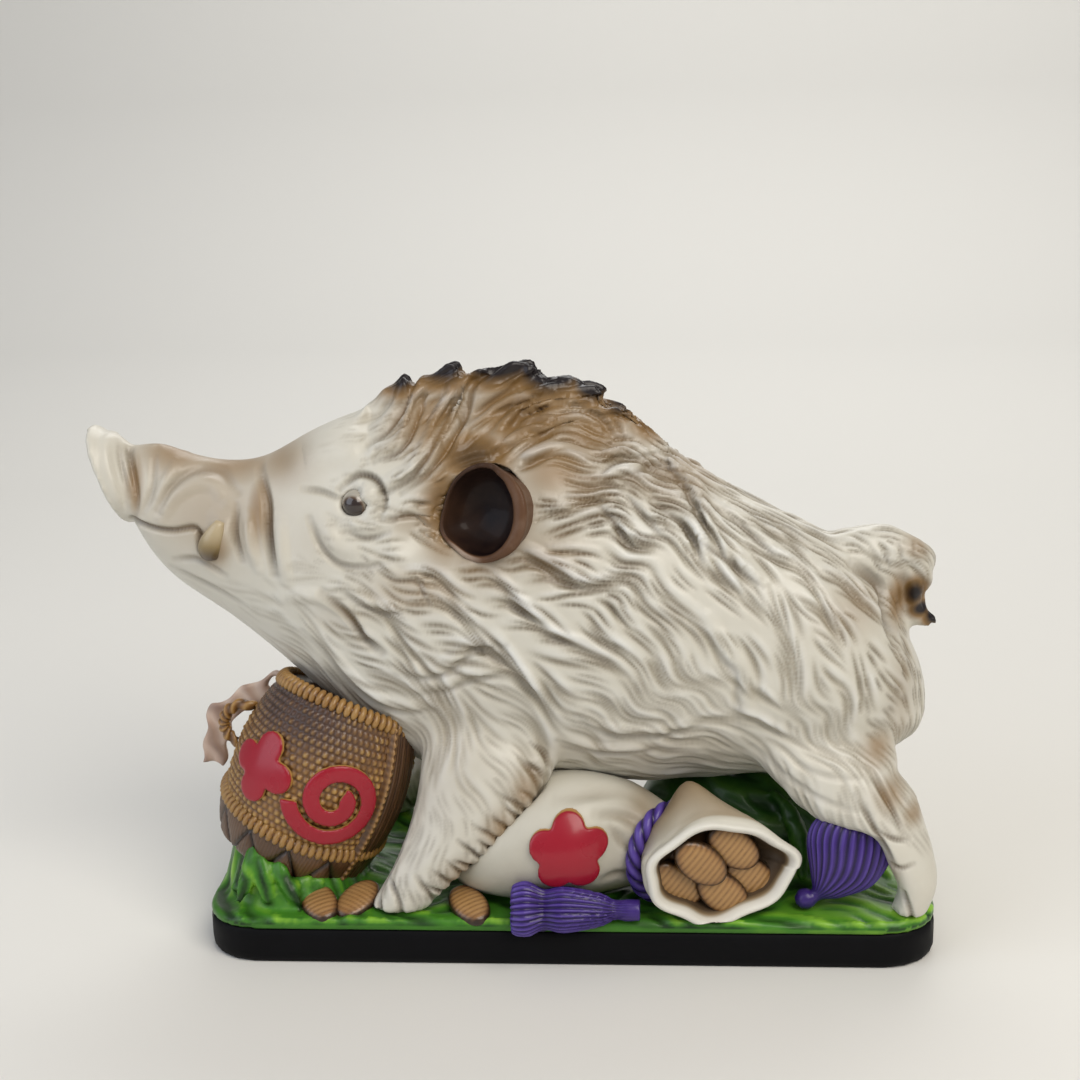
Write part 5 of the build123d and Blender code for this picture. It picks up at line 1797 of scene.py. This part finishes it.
@dataclass
class Coin:
    """An old oval coin: domed, with ribs stamped across it and painted shade in its edge."""

    node: str
    spread: float = 1.0
    lean: float = 0.0
    shift: tuple[float, float, float] = (0.0, 0.0, 0.0)
    rib: float = 1.35

    def build(self) -> None:
        """Models the coin over its node."""
        clay = Clay.from_nodes((self.node,), 0.45, 4)
        middle = clay.points.mean(0)
        arm = clay.points - middle
        _, _, rows = np.linalg.svd(arm - arm.mean(0), full_matrices=False)
        rows[2] *= 1 if rows[2] @ (0.2, -1.0, 0.6) > 0 else -1
        local = arm @ rows.T
        reach = np.abs(local).max(0)
        round_off = np.clip(1 - (local[:, 0] / reach[0]) ** 2 - (local[:, 1] / reach[1]) ** 2, 0, 1)
        top = smoothstep(-0.2, 0.6, local[:, 2] / reach[2])
        rib = np.abs(np.sin(np.pi * local[:, 0] / self.rib)) ** 0.7
        local[:, 2] += top * (1.9 * np.sqrt(round_off) - 0.34 * (1 - rib) * smoothstep(0.1, 0.4, round_off))
        local[:, :2] *= self.spread
        turn = np.array(Matrix.Rotation(math.radians(self.lean), 3, "X"))
        clay.points = local @ rows @ turn.T + middle + self.shift
        # Dome and ribs lighter as a painted highlight; the edge and the gaps between ribs darker as painted
        # shade
        edge = smoothstep(0.35, 0.0, round_off)
        clay.paint[Paint.TONE] = 0.3 + 0.34 * top * smoothstep(0.0, 0.7, round_off) + 0.14 * rib * top
        clay.paint[Paint.WASH] = np.clip(0.95 * edge + 0.42 * (1 - rib) * top, 0, 1)
        place_piece(clay.to_object(f"ribbed_{self.node}", BRONZE), "coin_bronze", self.node)


@dataclass
class Tassels:
    """The cord's two tassels: one lying in front of the sack, one swept up against the hind leg."""

    strands: int = 26
    knot: tuple[float, float, float] = (77.0, -39.0, 3.4)

    def build(self) -> None:
        """Builds both tassels."""
        self.front()
        self.rear()

    def front(self) -> None:
        """Combs the front tassel over its node."""
        clay = Clay.from_nodes(("front_tassel",), 0.5, 3)
        low, high = clay.points.min(0), clay.points.max(0)
        share = (clay.points[:, 0] - low[0]) / (high[0] - low[0])
        arm = clay.points - (low + high) / 2
        angle = np.arctan2(arm[:, 2] + 1.0, arm[:, 1])
        strand = np.sin(self.strands * angle + 3.0 * np.sin(3.2 * share)) * smoothstep(1.0, 0.75, share)
        bulge = 1.1 * bell(share, 0.08, 0.1) - 1.6 * bell(share, 0.24, 0.09) - 1.2 * bell(share, 0.8, 0.07)
        clay.raise_by(0.5 * strand + bulge)
        clay.points[:, 2] = np.maximum(clay.points[:, 2], low[2])
        # Strands and the knot's bulge lighter as a painted highlight, dark between strands as painted shade
        clay.paint[Paint.TONE] = 0.46 + 0.26 * strand + 0.08 * bulge
        clay.paint[Paint.WASH] = 0.7 * smoothstep(-0.5, -1.0, strand)
        place_piece(clay.to_object("front_combed_tassel", PURPLE), "cord_purple", "front_tassel")

    def rear(self) -> None:
        """Sweeps the rear tassel up from its knot in S-curved strands, with a painted highlight along one
        side.
        """
        angle = around(180)
        start = np.array(self.knot) + (0, 0, GROUND_TOP)
        line = (
            ((-3.2, 0, -0.5), 1.2, 1.2), ((-1.6, 0, 0.0), 3.0, 3.0), ((1.0, 0, 0.6), 3.2, 3.2),
            ((3.4, 0.2, 1.8), 2.3, 2.3), ((6.5, 0.6, 5.0), 6.4, 4.2), ((10.6, 1.6, 10.4), 11.6, 5.8),
            ((13.6, 3.0, 16.6), 13.4, 6.4), ((15.6, 4.2, 22.0), 12.2, 5.6), ((16.6, 5.0, 25.0), 7.8, 3.6),
            ((16.9, 5.2, 25.8), 2.4, 1.2),
        )
        centres = np.array([place for place, _, _ in line])
        ahead = np.gradient(centres, axis=0)
        ahead /= np.linalg.norm(ahead, axis=1, keepdims=True)
        knots = []
        for (place, wide, deep), way in zip(line, ahead):
            across = np.cross(way, (0, -1, 0))
            across /= np.linalg.norm(across)
            depth = np.cross(across, way)
            sideways = np.outer(wide * np.cos(angle), across)
            knots.append(start + place + sideways + np.outer(deep * np.sin(angle), depth))
        grid = spline(np.stack(knots), [4, 4, 4, 6, 10, 10, 8, 4, 3])
        share = np.linspace(0, 1, len(grid))[:, None]
        strand = np.sin(self.strands * angle[None] + 4.2 * np.sin(5.0 * share)) * smoothstep(0.2, 0.36, share)
        inner = grid.mean(1, keepdims=True)
        grid = inner + (grid - inner) * (1 + 0.042 * strand)[..., None]
        grid[..., 2] = np.maximum(grid[..., 2], GROUND_TOP + 0.1)
        clay = Clay.from_grid(grid)
        # A painted highlight along one side of the sweep; strands pale on their ridges and dark between them
        # as painted light and shade
        painted_highlight = bell(np.cos(angle[None] + 1.2 - 1.5 * share), 1.0, 0.25) * smoothstep(0.3, 0.5, share)
        tone = 0.4 + 0.24 * strand + 0.3 * painted_highlight
        clay.coat(Paint.TONE, tone, (0.4, 0.4))
        clay.coat(Paint.WASH, 0.7 * smoothstep(-0.4, -1.0, strand))
        place_piece(clay.to_object("rear_swept_tassel", PURPLE), "cord_purple", "rear_tassel")


class Turf(Flow):
    """Lie of the blades on the ground: they fan from the corner tuft and sweep along the rest of the base."""

    TUFT = (-92.0, -20.0, 26.0)
    REACH = 34.0

    def __init__(self) -> None:
        """Needs no combs."""
        super().__init__(())

    def lie(self, points: np.ndarray) -> tuple[np.ndarray, np.ndarray]:
        """Gives the blades' headings and strokes.

        Args:
            points: places on the ground.

        Returns:
            Headings as vectors, and rows of depth, width, length and wash.
        """
        fan = points - self.TUFT
        far = np.linalg.norm(fan, axis=1, keepdims=True)
        angle = 0.7 * np.sin(points[:, 0] / 9.0) + 0.5 * np.sin(points[:, 1] / 7.0)
        sweep = np.stack([np.cos(angle), np.sin(angle) - 0.4, np.full(len(angle), -0.25)], 1)
        share = np.exp(-((far / self.REACH) ** 2))
        ahead = share * fan / np.maximum(far, 1e-6) + (1 - share) * sweep
        ahead /= np.linalg.norm(ahead, axis=1, keepdims=True)
        return ahead, np.tile((0.7, 1.5, 18.0, 0.3), (len(points), 1))


@dataclass
class Base:
    """The black plinth and the green turf on it, with its bank and corner tuft."""

    turf: tuple[str, ...] = ("ground", "grass_bank", "grass_tuft")
    bank: Push = Push(27, 44, 8, 8, -5.0, 1.0)
    blade_spacing: float = 7.0

    def build(self) -> None:
        """Builds the plinth and the turf."""
        plinth = Clay.from_nodes(("plinth",), 1.5, 2)
        place_piece(plinth.to_object("enamelled_plinth", BLACK), "base_black", "plinth")
        clay = Clay.from_nodes(self.turf, 1.0, 4)
        clay.push((self.bank,))
        rim = clay.points[:, 2] > GROUND_TOP - 2.5
        raised = Carver(clay).cut(Turf(), self.blade_spacing, np.random.default_rng(SEED + 2)) * rim
        lift = np.clip(raised, -0.7, 0.6) * smoothstep(-2.0, -0.5, clay.height)
        clay.raise_by(lift)
        # Painted shade on the bank behind the sack and on the turf further back, under the boar
        bank = smoothstep(1.0, 8.0, clay.height) * smoothstep(0, 30, clay.points[:, 0])
        deep = smoothstep(-36, -18, clay.points[:, 1]) * smoothstep(-60, -20, clay.points[:, 0])
        # Blades lighter on their ridges and towards the right end, as painted light
        clay.paint[Paint.TONE] = 0.46 + 0.55 * raised + 0.24 * smoothstep(50, 100, clay.points[:, 0])
        clay.paint[Paint.SMOKE] = np.clip(0.2 * bank + 0.18 * deep, 0, 0.7)
        place_piece(clay.to_object("painted_turf", GREEN), "ground_green", *self.turf)


@dataclass(frozen=True)
class Studio:
    """Camera at the photograph's angle, pale floor and soft light."""

    target: tuple[float, float, float] = (-8.6, 0.0, 129.0)
    distance: float = 594.0
    pitch: float = 15.0
    yaw: float = 4.3
    roll: float = 1.45
    lens: float = 60.0
    aim: tuple[float, float, float] = (0.0, 0.0, 0.09)
    lamps: tuple[tuple[str, tuple[float, float, float], float, float, str], ...] = (
        ("key", (0.55, -0.75, 1.05), 0.9, 13.0, "FFF8EE"),
        ("fill", (-0.9, -0.6, 0.6), 1.0, 5.0, "EAF1FF"),
        ("back", (0.1, 0.9, 0.9), 0.9, 6.0, "FFFFFF"),
    )

    def build(self) -> None:
        """Makes the camera, the floor, the lamps and the world."""
        pitch, yaw, roll = (math.radians(a) for a in (self.pitch, self.yaw, self.roll))
        ahead = Vector((-math.sin(yaw) * math.cos(pitch), math.cos(yaw) * math.cos(pitch), -math.sin(pitch)))
        level = Vector((math.cos(yaw), math.sin(yaw), 0))
        above = level.cross(ahead)
        across = level * math.cos(roll) - above * math.sin(roll)
        upward = level * math.sin(roll) + above * math.cos(roll)
        turn = Matrix((across, upward, -ahead)).transposed().to_4x4()
        data = bpy.data.cameras.new("camera")
        data.lens = self.lens
        data.sensor_width = 36.0
        data.clip_end = 20.0
        camera = linked("camera", data)
        camera.matrix_world = Matrix.Translation((Vector(self.target) - ahead * self.distance) * MM) @ turn
        bpy.context.scene.camera = camera
        bpy.context.scene.view_settings.view_transform = "Standard"
        self._floor()
        for lamp in self.lamps:
            self._lamp(*lamp)
        world = bpy.data.worlds.new("studio")
        world.use_nodes = True
        sky = world.node_tree.nodes["Background"].inputs
        sky["Color"].default_value = linear("DADDE2")
        sky["Strength"].default_value = 0.42
        bpy.context.scene.world = world

    def _floor(self) -> None:
        """A wide pale floor that runs up into a backdrop."""
        build = bmesh.new()
        rows = []
        for y, z in ((-2.0, 0.0), (0.6, 0.0), (0.9, 0.05), (1.1, 0.25), (1.15, 0.6), (1.15, 2.4)):
            rows.append([build.verts.new((x, y, z)) for x in (-3.0, 3.0)])
        for low, high in zip(rows, rows[1:]):
            build.faces.new((low[0], low[1], high[1], high[0]))
        mesh = baked(build, "floor")
        mesh.shade_smooth()
        material = bpy.data.materials.new("floor_paper")
        material.use_nodes = True
        shader = material.node_tree.nodes["Principled BSDF"]
        shader.inputs["Base Color"].default_value = linear("DEDCD6")
        shader.inputs["Roughness"].default_value = 0.8
        mesh.materials.append(material)
        linked("floor", mesh)

    def _lamp(self, name: str, place: tuple[float, float, float], size: float, power: float,
              tint: str) -> None:
        """Adds a soft square lamp that faces the figure.

        Args:
            name: the lamp's name.
            place: where it hangs, in metres.
            size: its side, in metres.
            power: in watts.
            tint: its colour.
        """
        data = bpy.data.lights.new(name, "AREA")
        data.energy, data.size = power, size
        data.color = linear(tint)[:3]
        lamp = linked(name, data)
        lamp.location = place
        lamp.rotation_euler = (Vector(self.aim) - Vector(place)).to_track_quat("-Z", "Y").to_euler()


def main() -> None:
    """Builds every sub-assembly."""
    logging.basicConfig(level=logging.INFO, format="%(message)s")
    ribs = RibsOnPath()
    Studio().build()
    Base().build()
    Hide().build()
    for side in Side:
        Ear(side).build()
        Eye(side).build()
        Tusk(side).build()
    Keg(ribs).build()
    Streamer().build()
    Sack().build()
    for i in range(1, 4):
        Coin(f"ground_coin_{i}", spread=1.25, lean=18.0).build()
    Tassels().build()


if __name__ == "__main__":
    main()
